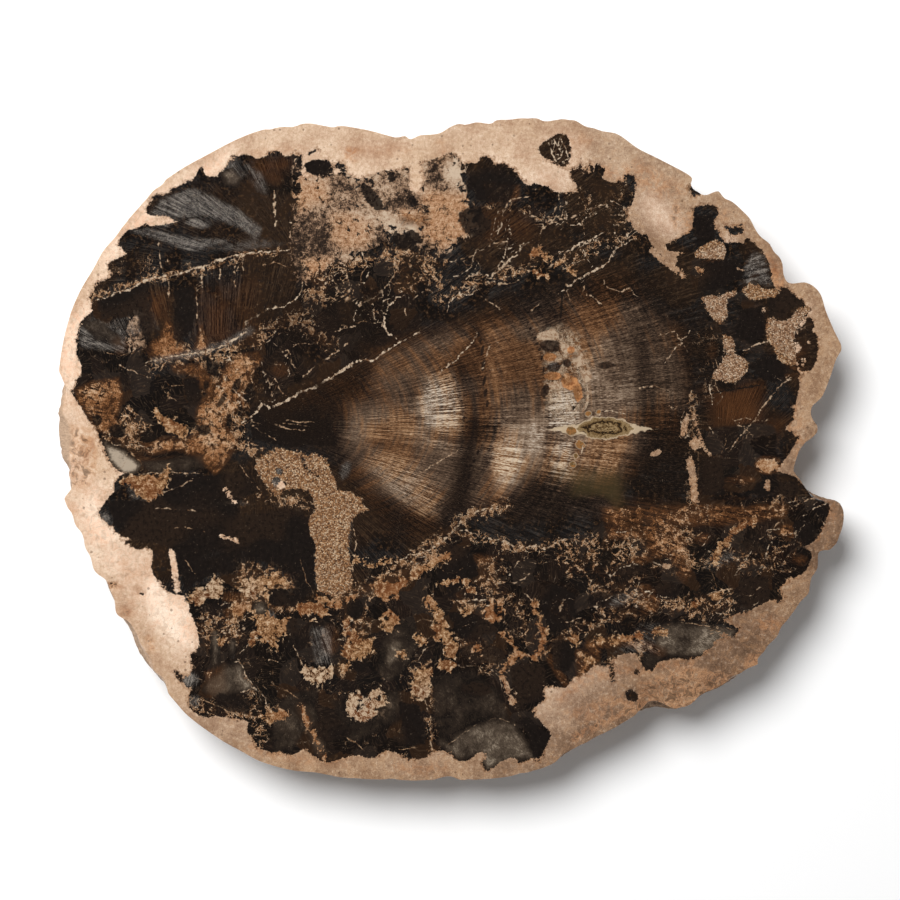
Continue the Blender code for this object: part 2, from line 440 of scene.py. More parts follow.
def soft(spots, zones, fade):
    """Strength from 0 to a zone's own, fading over so many steps either side of its edge."""
    strength = np.zeros(len(spots))
    for full, *shapes in zones:
        share = np.clip((sharp(spots, shapes) + fade) / (2 * fade), 0, 1)
        strength = np.maximum(strength, full * share * share * (3 - 2 * share))
    return strength


def count_of(zones):
    """How many shapes a list of zones holds."""
    return sum(len(shapes) for _, *shapes in zones)


# %% [markdown]
# ## Where the core ends
#
# The dark core has a torn edge, where the rind's stone ate into the wood. The rough course of
# the edge is a path here; its fine teeth come later from noise in the material. Islands of rind
# inside the core, and crumbs of core left in the rind, are patches of their own.

# %% Core, islands of rind and crumbs of core
CORE = patch("""
99,439 97,432 94,426 90,422 86,417 82,410 78,403 73,396 72,390 76,384 76,378 80,377 81,372 81,366
78,359 76,353 76,346 77,339 78,330 80,325 82,319 87,316 92,310 92,301 88,298 90,295 92,291 95,285
99,281 105,280 111,277 110,271 108,264 110,261 118,258 127,254 123,250 118,245 120,238 124,233
127,230 135,228 142,226 145,222 150,226 165,224 178,221 165,216 150,216 146,212 146,209 149,203
152,197 158,194 162,195 168,193 169,187 173,190 179,186 185,182 192,180 196,173 199,168 202,165
204,171 206,176 217,176 220,172 227,166 233,155 235,159 241,154 249,154 257,159 262,157 275,151
281,151 283,156 293,155 300,154 302,160 301,178 345,172 358,180 385,170 400,170 430,160 452,152
463,163 478,163 479,158 485,156 492,158 494,164 505,164 513,169 518,173 521,179 527,185 531,185
535,182 541,185 548,186 552,190 558,192 568,193 577,192 577,185 571,177 571,169 576,168 581,163
586,170 590,162 594,168 597,162 602,167 606,169 602,176 604,179 611,182 624,181 625,175 631,174
636,179 636,187 635,197 631,206 625,209 626,211 628,220 634,228 641,234 647,234 650,242 658,251
664,257 668,262 674,266 677,263 677,256 681,253 684,252 675,251 668,251 665,246 667,243 675,240
681,237 688,233 692,230 693,222 694,213 693,208 697,207 700,204 704,206 708,204 714,205 717,208
719,213 717,217 714,220 715,226 718,231 722,238 726,243 735,242 744,243 746,238 750,238 752,243
755,241 757,246 760,248 763,250 766,256 769,262 770,268 773,273 771,278 772,281 775,285 776,288
780,291 783,286 788,288 793,293 798,298 803,300 808,306 812,309 804,318 797,330 794,342 796,352 797,367
800,374 800,380 799,390 797,400 796,405 790,406 795,409 795,415 793,420 787,427 786,429 793,433
799,437 797,441 794,446 791,450 789,455 784,461 780,467 775,470 790,475 795,476 800,481 805,486
815,494 812,497 822,500 830,504 831,510 828,516 826,522 822,530 818,538 812,544 803,547 812,552
812,558 808,568 802,575 790,579 778,590 785,597 782,602 770,600 762,605 755,608 748,612 735,615
722,620 740,628 735,637 721,643 709,649 701,656 691,659 672,659 657,663 656,669 646,671 643,666
636,654 626,653 613,659 609,666 593,666 586,674 573,679 566,688 543,686 545,699 533,709 535,716
545,726 552,735 548,742 545,749 541,758 538,761 533,759 524,762 520,763 515,759 511,758 503,761
497,765 493,769 488,771 484,770 481,767 483,762 486,757 486,754 482,752 477,754 470,760 463,762
456,760 450,753 444,751 438,751 432,752 430,754 426,758 418,759 410,760 404,757 398,754 392,752
385,751 380,754 375,758 368,759 361,756 352,756 345,758 335,761 327,763 322,762 316,758 310,754
305,749 298,753 290,756 280,752 272,753 262,750 257,747 252,738 247,732 248,722 243,720 235,720
229,717 222,718 216,716 208,718 198,716 190,709 188,701 190,692 192,687 186,688 184,683 184,678
190,674 193,670 191,662 190,656 197,650 199,643 198,635 196,627 193,619 189,612 189,605 184,601
187,596 173,594 167,591 160,583 153,575 151,566 153,556 152,550 145,548 138,550 131,546 123,541
130,539 124,537 117,533 110,526 103,520 98,513 100,509 105,502 109,496 114,492 113,486 117,480
120,475 127,472 120,472 113,467 109,461 105,453 103,447
""")

RIND_ISLANDS = [
    "168,548 174,551 176,560 178,575 180,592 174,592 172,575", line(3, "220,536 238,541"),
    line(3, "224,487 227,492 232,500 236,503"),
    "716,640 728,636 742,644 740,656 728,666 714,662 711,652", line(3, "694,415 704,447 711,456"),
    line(7, "690,461 693,475 695,500"), "204,163 216,165 214,177 206,176",
    "408,162 420,160 425,176 420,195 410,190", line(5, "652,250 662,260 672,267 682,274"),
    line(3, "678,268 684,278"),
    *ovals("""724,636,3,3 656,453,6,3,-20 667,566,5,3,10 685,426,3,13,12 695,444,5,6 768,485,3,6
        281,485,4,4"""),
]
CORE_CRUMBS = [
    "304,164 310,160 319,159 328,160 332,166 332,173 325,176 314,175 306,171",
    "337,162 342,163 346,168 346,172 340,171 336,166", "307,154 313,149 318,149 312,155",
    "360,182 372,187 380,196 384,205 373,210 364,201 360,192", "387,173 393,172 395,180 389,182",
    "408,193 416,196 418,206 410,204", "452,185 458,186 458,192 453,192",
    """538,149 543,142 550,138 558,133 566,134 570,141 571,150 570,160 566,167 560,166 553,162 545,158
        540,154""",
    "724,226 732,227 741,225 745,231 739,235 732,235",
    """810,316 813,320 815,326 812,330 816,333 818,337 819,352 817,361 812,369 805,373 801,371 798,366
        797,358 796,349 795,338 799,330 804,325 807,318""",
    "635,652 645,650 655,653 660,658 655,665 652,672 645,668 640,660", line(4, "612,664 613,680"),
    "625,691 632,689 640,697 636,703 627,700", "688,186 696,184 701,190 700,195 692,195",
    line(4, "176,673 183,681"), *ovals("461,180,3,3 637,672,3,3 112,585,2,1.5 141,594,3,1.5,25"),
]
PALE_STRIPES = [
    line(1.4, "581,162 584,172"), line(1.4, "588,161 590,172"), line(1.2, "594,163 594,172"),
    line(1.6, "803,322 804,329"), line(1.5, "736,268 744,270"),
    *ovals("800,348,1.6,5 804,361,1.4,5 809,342,1.5,2 764,310,1.6,2.4 763,253,1.0,1.0"),
]
print(len(RIND_ISLANDS), "islands of rind and", len(CORE_CRUMBS), "crumbs of core")

# %% [markdown]
# ## Sand and broken lumps
#
# Some hollows in the wood were filled with coarse sand before they hardened: a Y-shaped patch left
# of the middle and several pale ones near the right edge. The lower half was crushed, and small
# lumps of tan stone lie in it between pieces of clean black silica. Lumps, lace and rust all have
# dark holes in them, so the holes are a list of their own.

# %% Sand and its gaps
SAND = [
    """256,460 265,455 272,450 282,448 290,451 300,450 308,456 315,453 325,458 330,470 335,478 337,490
        350,492 362,498 362,503 370,511 360,512 353,518 350,530 348,545 350,560 352,575 350,590
        335,598 317,590 315,575 316,545 310,535 308,520 315,510 312,495 300,488 285,490 277,497
        270,490 262,480 256,470""",
    "695,253 700,248 707,243 716,240 724,243 727,252 724,259 712,259 698,258",
    """701,298 706,296 719,296 728,292 738,290 737,294 728,299 727,308 728,316 722,324 714,320 709,312
        705,305""",
    "742,290 750,283 758,284 762,288 770,289 776,288 780,292 775,297 765,298 755,300 748,298",
    """768,318 773,317 778,321 789,320 797,309 808,306 812,309 804,318 796,330 794,340 796,350 797,367
        786,364 779,360 776,354 774,347 768,341 766,328""",
    "723,336 728,335 733,338 735,345 733,352 727,354 724,348",
    "726,354 733,353 741,356 748,361 747,372 740,380 731,384 724,381 712,379 714,371 720,366 722,360",
    line(4, "815,306 802,314 790,321"),
]
SAND_GAPS = [
    line(3, "300,452 306,470 318,476"),
    *ovals("279,471,4,4 276,482,5,5 281,485,5,4 763,514,7,6 344,468,4,8,20"),
]
print(len(SAND), "patches of sand with", len(SAND_GAPS), "gaps")

# %% Tan lumps and dark holes
LUMPS = [
    "118,484 132,475 150,475 161,475 168,466 170,473 165,488 156,498 144,500 134,492 128,485",
    "153,408 160,413 172,419 186,426 190,434 182,438 172,434 163,426 155,416",
    line(7, "714,560 722,548 730,536 740,527 754,521"),
    """342,622 350,618 352,628 358,636 366,640 374,638 373,648 367,655 357,660 348,660 341,654 343,646
        349,640 344,634""",
    line(8, "428,600 437,612 441,622 444,633"), line(11, "447,638 452,646 452,654"),
    "303,666 315,667 330,668 334,673 330,681 315,685 305,680 302,672",
    "348,695 358,692 367,699 377,704 376,715 366,722 354,720 347,711",
    "369,690 379,689 387,697 384,704 374,700", "418,667 433,669 429,685 428,698 416,699 410,691 413,680",
    line(4, "502,634 510,640 518,650"), line(6, "534,605 539,620 545,633 541,650 534,658"),
    line(5, "524,654 508,663 502,674 507,687 513,702"),
    "370,585 380,578 392,584 404,576 408,584 398,590 400,598 390,596 380,604 376,594",
    line(6, "400,585 420,572 435,562 450,556"),
    "187,600 196,588 205,590 214,574 222,582 222,598 205,600 196,606",
    "240,592 246,580 262,576 270,580 264,590 256,600",
    "254,618 268,613 276,620 288,618 286,634 276,638 278,650 266,645 258,634",
    line(5, "318,598 335,606 352,598"), line(3, "301,706 308,722 318,745 325,758"),
    line(3, "263,592 270,602 268,613"), line(4, "356,560 372,566 388,560"),
    "432,628 440,622 448,630 446,640 436,640", line(6, "596,640 620,640 640,636"),
    line(4, "440,585 455,580 470,582"),
    *ovals("""535,252,7,4,-30 546,257,6,3,20 540,274,9,3,20 557,264,5,2.6,-30 571,270,7,3,30
        389,621,9,11 447,665,8,6 494,612,10,10 275,716,14,5,-8 243,610,11,8 376,698,8,9 275,582,9,9
        312,610,17,9 700,270,3,3 466,612,5,4 598,686,6,4 222,641,4,5 252,640,4,7,20 345,668,6,5
        420,640,7,4,30 716,596,9,4,-20 694,604,6,4 660,632,8,4 575,640,5,7 590,660,6,4 402,655,5,4
        478,648,4,6 470,590,6,4,-30"""),
]
HOLES = ovals("""
    222,400,3,9,30 236,386,4,9,25 229,421,3,8 250,394,5,12 204,430,7,6 253,420,4,8 216,373,3,6
    206,385,3,6 240,408,3,5 97,420,5,6 117,431,9,7,15 148,437,9,6 607,558,6,8 645,570,7,5
    693,547,8,4 278,597,12,10 248,615,5,5 311,617,6,5 355,609,9,11 378,602,4,6 350,644,2,4
    260,608,8,6 378,697,2,2 360,705,4,5 385,618,3,3 496,608,3,3
""")
print(len(LUMPS), "tan lumps and", len(HOLES), "dark holes")

# %% Clean black pieces and dark seams
CLEAN_BLACK = [
    (1.0, "160,475 215,475 245,470 262,490 240,500 205,505 160,508 155,490",
     "105,500 150,500 240,505 245,535 240,570 210,575 185,590 178,560 165,545 130,540 115,525",
     "245,515 300,508 315,530 315,590 300,600 290,575 262,562 245,560",
     "510,665 545,665 545,700 515,708",
     "515,722 528,715 540,728 552,736 545,750 540,760 534,757 530,742 525,728",
     "740,580 770,575 770,600 750,610 735,600", "700,455 722,460 725,495 702,495",
     "695,215 715,215 716,238 700,246 694,235", "740,310 765,305 765,335 750,345 735,335",
     "700,262 740,258 745,275 720,290 700,292",
     "768,300 780,290 790,288 806,303 790,309 784,319 770,316",
     "540,586 552,583 568,590 574,604 568,626 556,637 546,625 540,606",
     "551,642 562,640 576,646 574,662 566,674 553,668",
     *ovals("762,489,8,8 790,489,9,8 822,508,8,8 278,597,11,9 355,609,9,10 311,617,6,5")),
    (0.9, "745,365 775,352 795,372 770,385", "95,300 150,280 150,315 100,320",
     "137,300 152,298 154,330 146,344 138,326", "173,290 194,284 196,320 184,342 174,322",
     "456,650 480,640 510,652 500,664 470,664", "446,612 470,610 498,626 498,632 470,640 458,638",
     "398,702 420,704 428,745 404,746", "516,660 535,662 546,690 540,702 522,700 516,680",
     "440,545 470,545 480,575 450,600 436,575", "184,376 199,378 202,404 190,408 182,392",
     "250,400 330,420 340,445 290,448 250,440",
     *ovals("758,545,16,9 668,590,14,10 805,530,12,12 330,730,22,12 345,700,4,20 222,605,12,5")),
    (0.8, "545,595 575,592 578,615 560,630 545,620", "455,210 480,205 495,225 480,240 462,232",
     "172,300 186,296 186,338 178,350 172,338", "340,640 370,650 372,672 345,672",
     "290,616 300,622 300,650 284,652", "215,690 255,700 250,715 215,712",
     "204,360 222,362 216,376 206,376", *ovals("475,690,18,9 410,740,18,8 600,600,14,9 630,570,16,8")),
    (0.7, "465,168 500,165 520,182 510,205 480,205 466,190", "205,276 216,272 218,292 208,296",
     "222,268 232,264 232,286 224,288"),
]
DARK_SEAMS = [
    "362,182 370,186 380,197 385,210 376,210 366,201 360,190", "387,172 394,172 396,181 389,182",
    "406,193 414,195 419,206 410,204",
    "304,164 310,160 319,159 328,160 332,166 332,173 325,176 314,175 306,171",
    "295,150 301,152 302,168 296,166", "392,240 396,230 402,236 410,229 420,234 424,244 412,243 400,250",
    line(2.0, "460,415 478,425 487,435 480,448 474,462 467,470 470,480 465,492"),
    line(1.6, "574,405 577,425"), line(1.6, "560,350 562,300 566,260"),
    line(1.6, "527,322 535,338 541,352 544,372 545,392"), line(2.2, "477,330 482,345 484,380 488,410"),
    line(2.0, "700,395 760,385"), line(1.6, "600,665 612,664"), oval(290, 598, 15, 9),
]
print(count_of(CLEAN_BLACK), "clean black pieces and", len(DARK_SEAMS), "dark seams")

# %% [markdown]
# ## Healed cracks
#
# As the log settled it cracked, and later stone filled every crack with a pale thread. They are
# the lines that run across the rays and rings. Each is a width, a paleness from 0 to 1 and a path
# down the middle of the thread.

# %% Placed threads
CRACKS = [
    (3.0, 0.9, """95,300 108,297 118,291 130,290 140,283 150,278 165,276 180,274 192,268 205,266
        212,262 225,258 240,254 255,252 275,251 290,250"""),
    (2.6, 0.8, """145,362 165,358 185,354 205,352 225,345 240,335 250,330 245,322 255,317 270,308
        285,306 300,295 303,283"""),
    (3.6, 1.0, """240,423 250,418 258,410 262,404 270,408 285,401 300,392 320,385 335,375 350,365
        362,359 372,361 380,355 388,350 400,342 420,332"""),
    (2.2, 0.5, "302,378 315,366 330,356 349,343"),
    (2.6, 0.5, "330,275 338,290 350,300 358,306"),
    (2.4, 0.5, "344,262 348,280 350,297"),
    (2.6, 0.5, "358,306 375,297 385,288 395,275"),
    (3.0, 0.9, "404,295 397,298 389,305 384,316 384,326 389,334 397,339"),
    (1.4, 0.5, "427,290 421,292 413,300"),
    (1.4, 0.5, "405,309 406,316"),
    (2.8, 0.8, "447,312 448,304 452,299 461,293 469,296 476,290 483,288"),
    (1.6, 0.5, "466,287 478,285 488,283 500,284 512,283 520,280"),
    (1.4, 0.5, "482,297 490,302 500,309 512,316"),
    (2.2, 0.6, "520,252 509,262 500,269 489,279"),
    (1.4, 0.5, "466,279 472,276 480,275"),
    (1.8, 0.5, "500,267 515,267 530,271 545,270 557,262 565,255"),
    (1.6, 0.5, "503,214 508,202 514,198 530,197 537,188"),
    (1.4, 0.5, "530,210 530,215 537,217 540,219"),
    (2.8, 0.5, "540,232 548,224 560,219 576,216"),
    (1.4, 0.5, "557,190 560,200 562,210 564,217"),
    (1.6, 0.5, "598,205 590,213 582,221 583,228 586,238"),
    (2.8, 0.8, "560,252 572,250 582,241 590,240 603,233"),
    (2.8, 0.9, "638,233 630,241 615,250 610,260 600,268 585,275 575,281 565,290 560,292"),
    (1.2, 0.35, "565,285 570,300"),
    (1.2, 0.35, "585,285 580,300"),
    (1.6, 0.5, "604,280 606,286 615,290 622,292 630,288 640,300"),
    (1.4, 0.5, "500,307 508,314 525,316 540,303"),
    (1.6, 0.5, "680,270 685,278"),
    (2.4, 0.6, "745,351 757,345 768,341"),
    (1.8, 0.7, "478,334 470,346 463,352 455,361 442,369 436,378"),
    (1.8, 0.5, "169,278 168,298"),
    (2.2, 0.6, "201,268 202,286"),
    (2.2, 0.6, "219,262 220,278"),
    (1.6, 0.5, "234,258 235,286"),
    (1.6, 0.5, "242,256 243,270"),
    (1.4, 0.5, "196,284 197,318"),
    (1.4, 0.5, "158,238 160,262 163,272"),
    (1.8, 1.0, "548,142 552,153 558,164"),
    (1.8, 1.0, "554,138 559,150 565,163"),
    (1.8, 1.0, "560,136 565,147 569,158"),
    (1.4, 0.6, "222,662 240,661 246,676 255,688 240,693"),
    (1.2, 0.5, "448,745 474,726 498,718 515,725"),
    (1.2, 0.4, "656,627 680,622 708,626 738,630"),
    (1.4, 0.5, "139,474 170,472 205,474 214,473"),
    (1.6, 0.5, "157,497 162,492 170,490 178,487 187,482 192,480"),
    (1.4, 0.5, "155,509 165,508 175,510 185,510 200,511 208,511"),
    (2.4, 0.6, """400,560 410,555 425,553 437,545 447,538 455,528 462,522 470,515 480,510 495,508
        510,511"""),
    (2.2, 0.6, """455,532 465,530 480,536 495,540 505,541 515,547 522,549 535,545 545,550 555,543
        565,539 580,541"""),
    (2.0, 0.5, "350,595 365,597 375,590 385,585 395,580 405,572"),
    (1.6, 0.5, "490,583 500,584 515,583 525,578 530,573"),
    (1.4, 0.5, "425,700 430,715 431,730 431,752"),
    (1.2, 0.35, "330,730 345,738 355,742 368,755"),
    (1.2, 0.35, "400,750 415,748 430,745"),
    (1.4, 0.5, "190,640 215,635 235,632 245,628"),
    (1.4, 0.5, "293,645 300,660 305,670"),
    (2.4, 0.6, "274,190 275,225"),
    (1.0, 0.35, "240,465 250,480 262,492"),
    (1.0, 0.35, "185,560 195,575"),
    (1.6, 0.5, "640,388 655,386 680,395"),
    (1.4, 0.5, "660,334 675,332 684,345 688,352"),
    (1.4, 0.5, "590,295 602,304"),
    (1.2, 0.35, "700,560 712,572 718,590"),
    (1.4, 0.5, "690,600 715,592 735,588"),
    (1.2, 0.35, "600,560 612,580 618,600"),
    (1.4, 0.5, "450,660 462,668 475,664"),
    (1.2, 0.35, "205,700 228,712 240,716"),
    (1.6, 0.5, "505,600 520,590 532,600"),
    (1.8, 0.5, "730,450 752,422 772,396 790,375"),
    (1.2, 0.35, "580,560 600,548 622,546 640,540"),
    (1.4, 0.5, "352,520 356,540 354,560 352,580"),
    (1.6, 0.5, "425,470 445,458 458,450"),
    (1.2, 0.35, "300,560 306,580 315,596"),
    (1.2, 0.35, "640,600 655,612 660,625"),
    (1.0, 0.35, "468,620 474,640 470,660"),
    (1.2, 0.35, "215,590 235,588 250,585"),
    (1.4, 0.5, "118,365 135,372 150,378"),
    (1.2, 0.35, "100,350 118,356 135,352"),
    (1.0, 0.35, "160,530 185,527 205,532"),
    (1.2, 0.35, "262,265 275,262 290,268"),
    (1.4, 0.5, "480,250 495,243 510,240"),
    (1.2, 0.35, "610,215 620,225 628,232"),
    (1.6, 0.8, "574,400 576,412 575,422"),
    (1.4, 0.7, "570,475 574,462 582,452 586,440"),
    (1.4, 0.7, "590,418 610,410 628,415"),
    (1.4, 0.7, "682,430 681,420 684,411"),
    (1.4, 0.7, "682,430 686,438 690,436"),
    (1.2, 0.5, "668,395 668,404 674,410 679,404 678,392"),
    (1.4, 0.5, "560,330 566,342 572,352 580,352"),
    (1.4, 0.5, "582,350 600,348 612,350"),
    (1.2, 0.5, "482,370 490,345 498,342"),
    (1.2, 0.5, "480,371 498,369"),
    (1.4, 0.4, "268,421 280,426 292,430 306,430"),
    (1.2, 0.4, "250,425 262,432 276,440"),
    (1.4, 0.4, "286,420 300,422 322,422"),
    (1.6, 0.5, "262,365 268,378 272,396"),
    (1.2, 0.4, "274,376 280,390 286,396"),
    (1.2, 0.4, "288,350 292,362 296,368"),
]

# %% [markdown]
# Between the listed threads the crushed wood is full of smaller ones. They are
# drawn at random from a fixed seed: each starts inside a zone, wanders about the zone's own
# direction, and sometimes throws a branch. A zone is a count, a direction and a patch. Every
# thread, placed or scattered, gets thinner towards both its ends.

# %% Scattered threads
THREAD_SEED = 7
THREAD_ZONES = [
    (30, -22, patch("380,575 450,532 560,548 640,522 640,640 560,655 520,690 440,690 400,640")),
    (30, -14, patch("640,520 800,500 826,510 812,545 770,600 740,628 660,655 640,600")),
    (12, 24, patch("190,600 300,612 350,622 350,690 260,690 200,700")),
    (22, -18, patch("440,262 560,210 640,190 640,240 570,288 480,316")),
    (16, 28, patch("150,350 240,345 240,440 150,462 100,440")),
    (10, 74, patch("690,330 770,330 772,400 700,500")),
    (16, -40, patch("250,330 300,290 380,270 400,310 330,350 262,400")),
]
THREAD_STEPS, STEP_LENGTHS, THREAD_TURN, THREAD_SPREAD = (2, 5), (4, 11), 30, 38
THREAD_WIDTHS, THREAD_LIGHTS = (0.6, 1.7), (0.2, 0.9)
BRANCH_CHANCE, BRANCH_TURNS, BRANCH_SHARE = 0.4, (40, 90), 0.8


def wander(draw, start, heading):
    """One thread's path: a few steps, each turned a little from the one before."""
    places = [np.array(start)]
    for _ in range(draw.randint(*THREAD_STEPS)):
        heading += draw.uniform(-THREAD_TURN, THREAD_TURN)
        step = draw.uniform(*STEP_LENGTHS)
        way = np.array([math.cos(math.radians(heading)), math.sin(math.radians(heading))])
        places.append(places[-1] + step * way)
    return np.array(places)


def scattered_threads():
    """Width, paleness and path of every small thread."""
    draw = random.Random(THREAD_SEED)
    threads = []
    for count, heading, zone in THREAD_ZONES:
        low, high = zone["places"].min(axis=0), zone["places"].max(axis=0)
        while count > 0:
            start = [draw.uniform(low[0], high[0]), draw.uniform(low[1], high[1])]
            if not is_inside(np.array([start]), zone["places"])[0]:
                continue
            count -= 1
            width, paleness = draw.uniform(*THREAD_WIDTHS), draw.uniform(*THREAD_LIGHTS)
            main = wander(draw, start, heading + draw.uniform(-THREAD_SPREAD, THREAD_SPREAD))
            threads.append((width, paleness, main))
            if draw.random() < BRANCH_CHANCE:
                turned = heading + draw.choice((-1, 1)) * draw.uniform(*BRANCH_TURNS)
                threads.append((width * BRANCH_SHARE, paleness, wander(draw, main[1], turned)))
    return threads


# %% Threads with thin ends
THIN_END = 0.35


def tapered(width, paleness, places):
    """A thread cut at its corners, each part thinner the nearer it is to an end."""
    parts = []
    for step in range(len(places) - 1):
        middle = math.sin(math.pi * (step + 0.5) / (len(places) - 1))
        parts.append((width * (THIN_END + (1 - THIN_END) * middle), paleness, places[step:step + 2]))
    return parts


whole_threads = [(width, paleness, path(text)) for width, paleness, text in CRACKS]
whole_threads += scattered_threads()
all_threads = [part for thread in whole_threads for part in tapered(*thread)]
print(len(CRACKS), "placed threads and", len(whole_threads) - len(CRACKS), "scattered ones")

# %% [markdown]
# ## Soft zones
#
# Colour drifts over the slab. Such zones have no hard edge: each row is a strength and the shapes
# that have it, and they fade out over a few steps. The heart is the fan of light wood right of the
# pith. Over it lie silver rays, brown bands and places where the wood is dim.

# %% Zones of the heartwood
HEART = [
    (1.0, """255,424 270,408 300,393 330,376 360,361 390,350 420,331 450,325 470,318 520,300 560,285
         600,270 640,275 668,310 685,350 692,400 690,440 680,462 630,462 625,480 610,515 560,518
         520,525 500,512 470,512 445,525 430,538 400,545 380,520 350,490 330,460 310,445 290,440"""),
]
SILVER = [
    (1.5, "549,388 574,392 578,420 560,432 549,426"),
    (1.2, "428,378 452,374 460,392 466,415 463,432 440,432 425,425 418,405"),
    (0.9, line(5, "428,441 460,450")),
    (0.88, "488,440 505,438 520,445 522,462 515,480 500,478 492,465 486,455"),
    (0.8, "550,440 575,440 575,480 555,485 545,470"),
    (0.6, "370,450 400,455 430,480 442,500 440,520 420,520 395,495 370,470",
     "540,478 562,474 560,488 542,490"),
    (0.5, "528,425 548,425 548,455 532,455", "480,415 505,415 515,425 500,440 485,435"),
    (0.4, "330,420 430,405 430,440 340,440"),
    (0.35, "580,440 625,442 620,465 600,475 580,470"),
    (0.3, line(3, "640,388 660,392 680,395")),
    (0.25, "580,385 630,375 640,400 630,410 600,405 585,400", "583,350 600,345 605,385 585,385"),
    (0.2, "615,370 632,378 632,405 620,400"),
]
BROWN = [
    (1.9, "505,425 548,405 545,470 520,490 492,500 490,470"),
    (1.25, "550,325 590,320 640,345 645,400 635,470 600,482 550,478"),
    (1.2, "700,390 760,385 760,425 715,425", "540,580 575,590 565,625 548,620"),
    (1.1, "480,325 545,318 548,420 530,430 484,415 480,350"),
    (1.0, "375,355 420,335 470,325 475,345 450,368 430,385 400,400 370,390",
     "345,402 455,378 462,440 455,500 425,520 365,485 345,445", "560,300 640,305 650,345 590,345"),
    (0.9, "640,310 680,330 688,400 660,420 640,400", "140,295 165,295 165,318 140,318",
     "755,425 785,420 770,445 750,440", "255,160 290,160 290,180 255,180",
     "470,440 486,440 490,470 512,486 500,505 470,505", oval(712, 268, 14, 6)),
    (0.8, "600,508 640,502 700,508 760,504 800,506 790,532 720,535 640,530",
     "640,528 690,532 680,575 650,560", "206,304 228,302 230,342 206,340",
     *ovals("549,604,9,14 790,360,12,16")),
    (0.7, *ovals("232,702,26,8 200,658,10,9 350,608,12,8 98,405,20,22 560,655,8,10 752,325,8,18")),
    (0.6, "458,338 490,333 488,418 466,418 462,380",
     *ovals("630,592,34,12 300,705,10,18 470,655,26,14 455,590,14,8 160,455,30,8 780,560,14,10")),
    (0.5, "480,210 540,215 530,240 480,240"),
    (0.35, "195,285 255,280 255,340 195,340"),
]
DIM = [
    (0.85, "469,418 484,432 480,452 476,470 470,492 464,514 442,514 448,492 456,470 462,440",
     "640,450 660,434 696,424 706,446 704,492 672,506 644,496 636,472"),
    (0.8, "262,404 300,396 340,398 348,420 340,446 300,444 262,430"),
    (0.7, "676,300 700,310 722,340 716,420 694,424 690,370 680,330"),
    (0.6, "516,478 530,468 560,474 560,510 520,512", "340,338 400,312 440,318 400,338 350,362"),
    (0.55, "640,262 676,290 690,330 660,310 632,280"),
    (0.5, "395,500 430,512 470,512 450,526 400,540 380,522",
     "262,305 300,292 345,300 400,300 380,330 300,350 262,330"),
    (0.4, "518,335 530,330 532,395 520,400"),
    (0.35, "612,322 676,322 690,400 640,425 618,385"),
    (0.2, "470,330 482,335 480,400 468,410 466,360"),
]
print(count_of(SILVER), "silver,", count_of(BROWN), "brown and", count_of(DIM), "dim zones")

# %% [markdown]
# Iron settled as rust, above all round the crushed parts. The silica is cloudy grey in places and
# smoky in others, and a faint olive lies below the knot.

# %% Zones of rust, grey, smoke and olive
RUST = [
    (1.6, oval(768, 465, 12, 8)),
    (1.4, "148,352 152,342 160,338 168,319 174,332 182,342 186,350 176,358 158,358",
     oval(571, 431, 5, 5)),
    (1.3, "194,350 198,338 201,324 206,338 208,348 202,352", oval(602, 686, 6, 5)),
    (1.2, *ovals("""788,532,8,7 549,357,6,4 550,376,7,4 567,378,6,7 577,392,4,7 573,355,5,4
         579,445,6,5 577,455,4,5 573,465,5,5""")),
    (1.15, "75,390 90,382 118,378 122,395 120,405 116,420 118,432 100,432 90,420 80,405",
     """222,372 235,355 258,352 262,360 250,375 250,385 240,390 245,405 230,415 225,425 238,440
         228,460 215,475 205,465 195,455 175,450 150,455 140,445 165,437 185,440 200,430 195,415
         200,400 210,395 200,385 195,375 175,372 170,365 200,365 210,375 215,385 220,382"""),
    (1.1, line(8, "590,645 620,642 645,645 662,652"), line(6, "550,658 560,675 568,688")),
    (1.0, "640,520 665,515 680,530 690,548 680,575 672,560 655,545 645,535",
     "575,650 600,650 600,690 578,690", oval(660, 538, 14, 20)),
    (0.9, "600,508 700,504 760,508 758,524 690,526 610,522", line(16, "630,520 680,516 720,518 780,510"),
     "640,585 650,585 652,615 640,612", "400,215 430,215 430,226 400,226"),
    (0.8, "222,592 252,592 250,618 224,618", "600,515 640,512 645,540 610,540",
     "480,180 520,185 520,200 490,205", *ovals("684,571,8,12 650,602,10,14 640,560,12,5 800,560,8,5")),
    (0.7, "204,672 224,664 226,690 208,700", line(7, "300,708 310,728 322,755"),
     *ovals("560,610,12,14 700,540,12,6,-20 330,640,10,16 740,480,16,5 480,560,14,6 712,350,6,10")),
    (0.6, *ovals("120,345,8,10 280,370,10,8")),
]
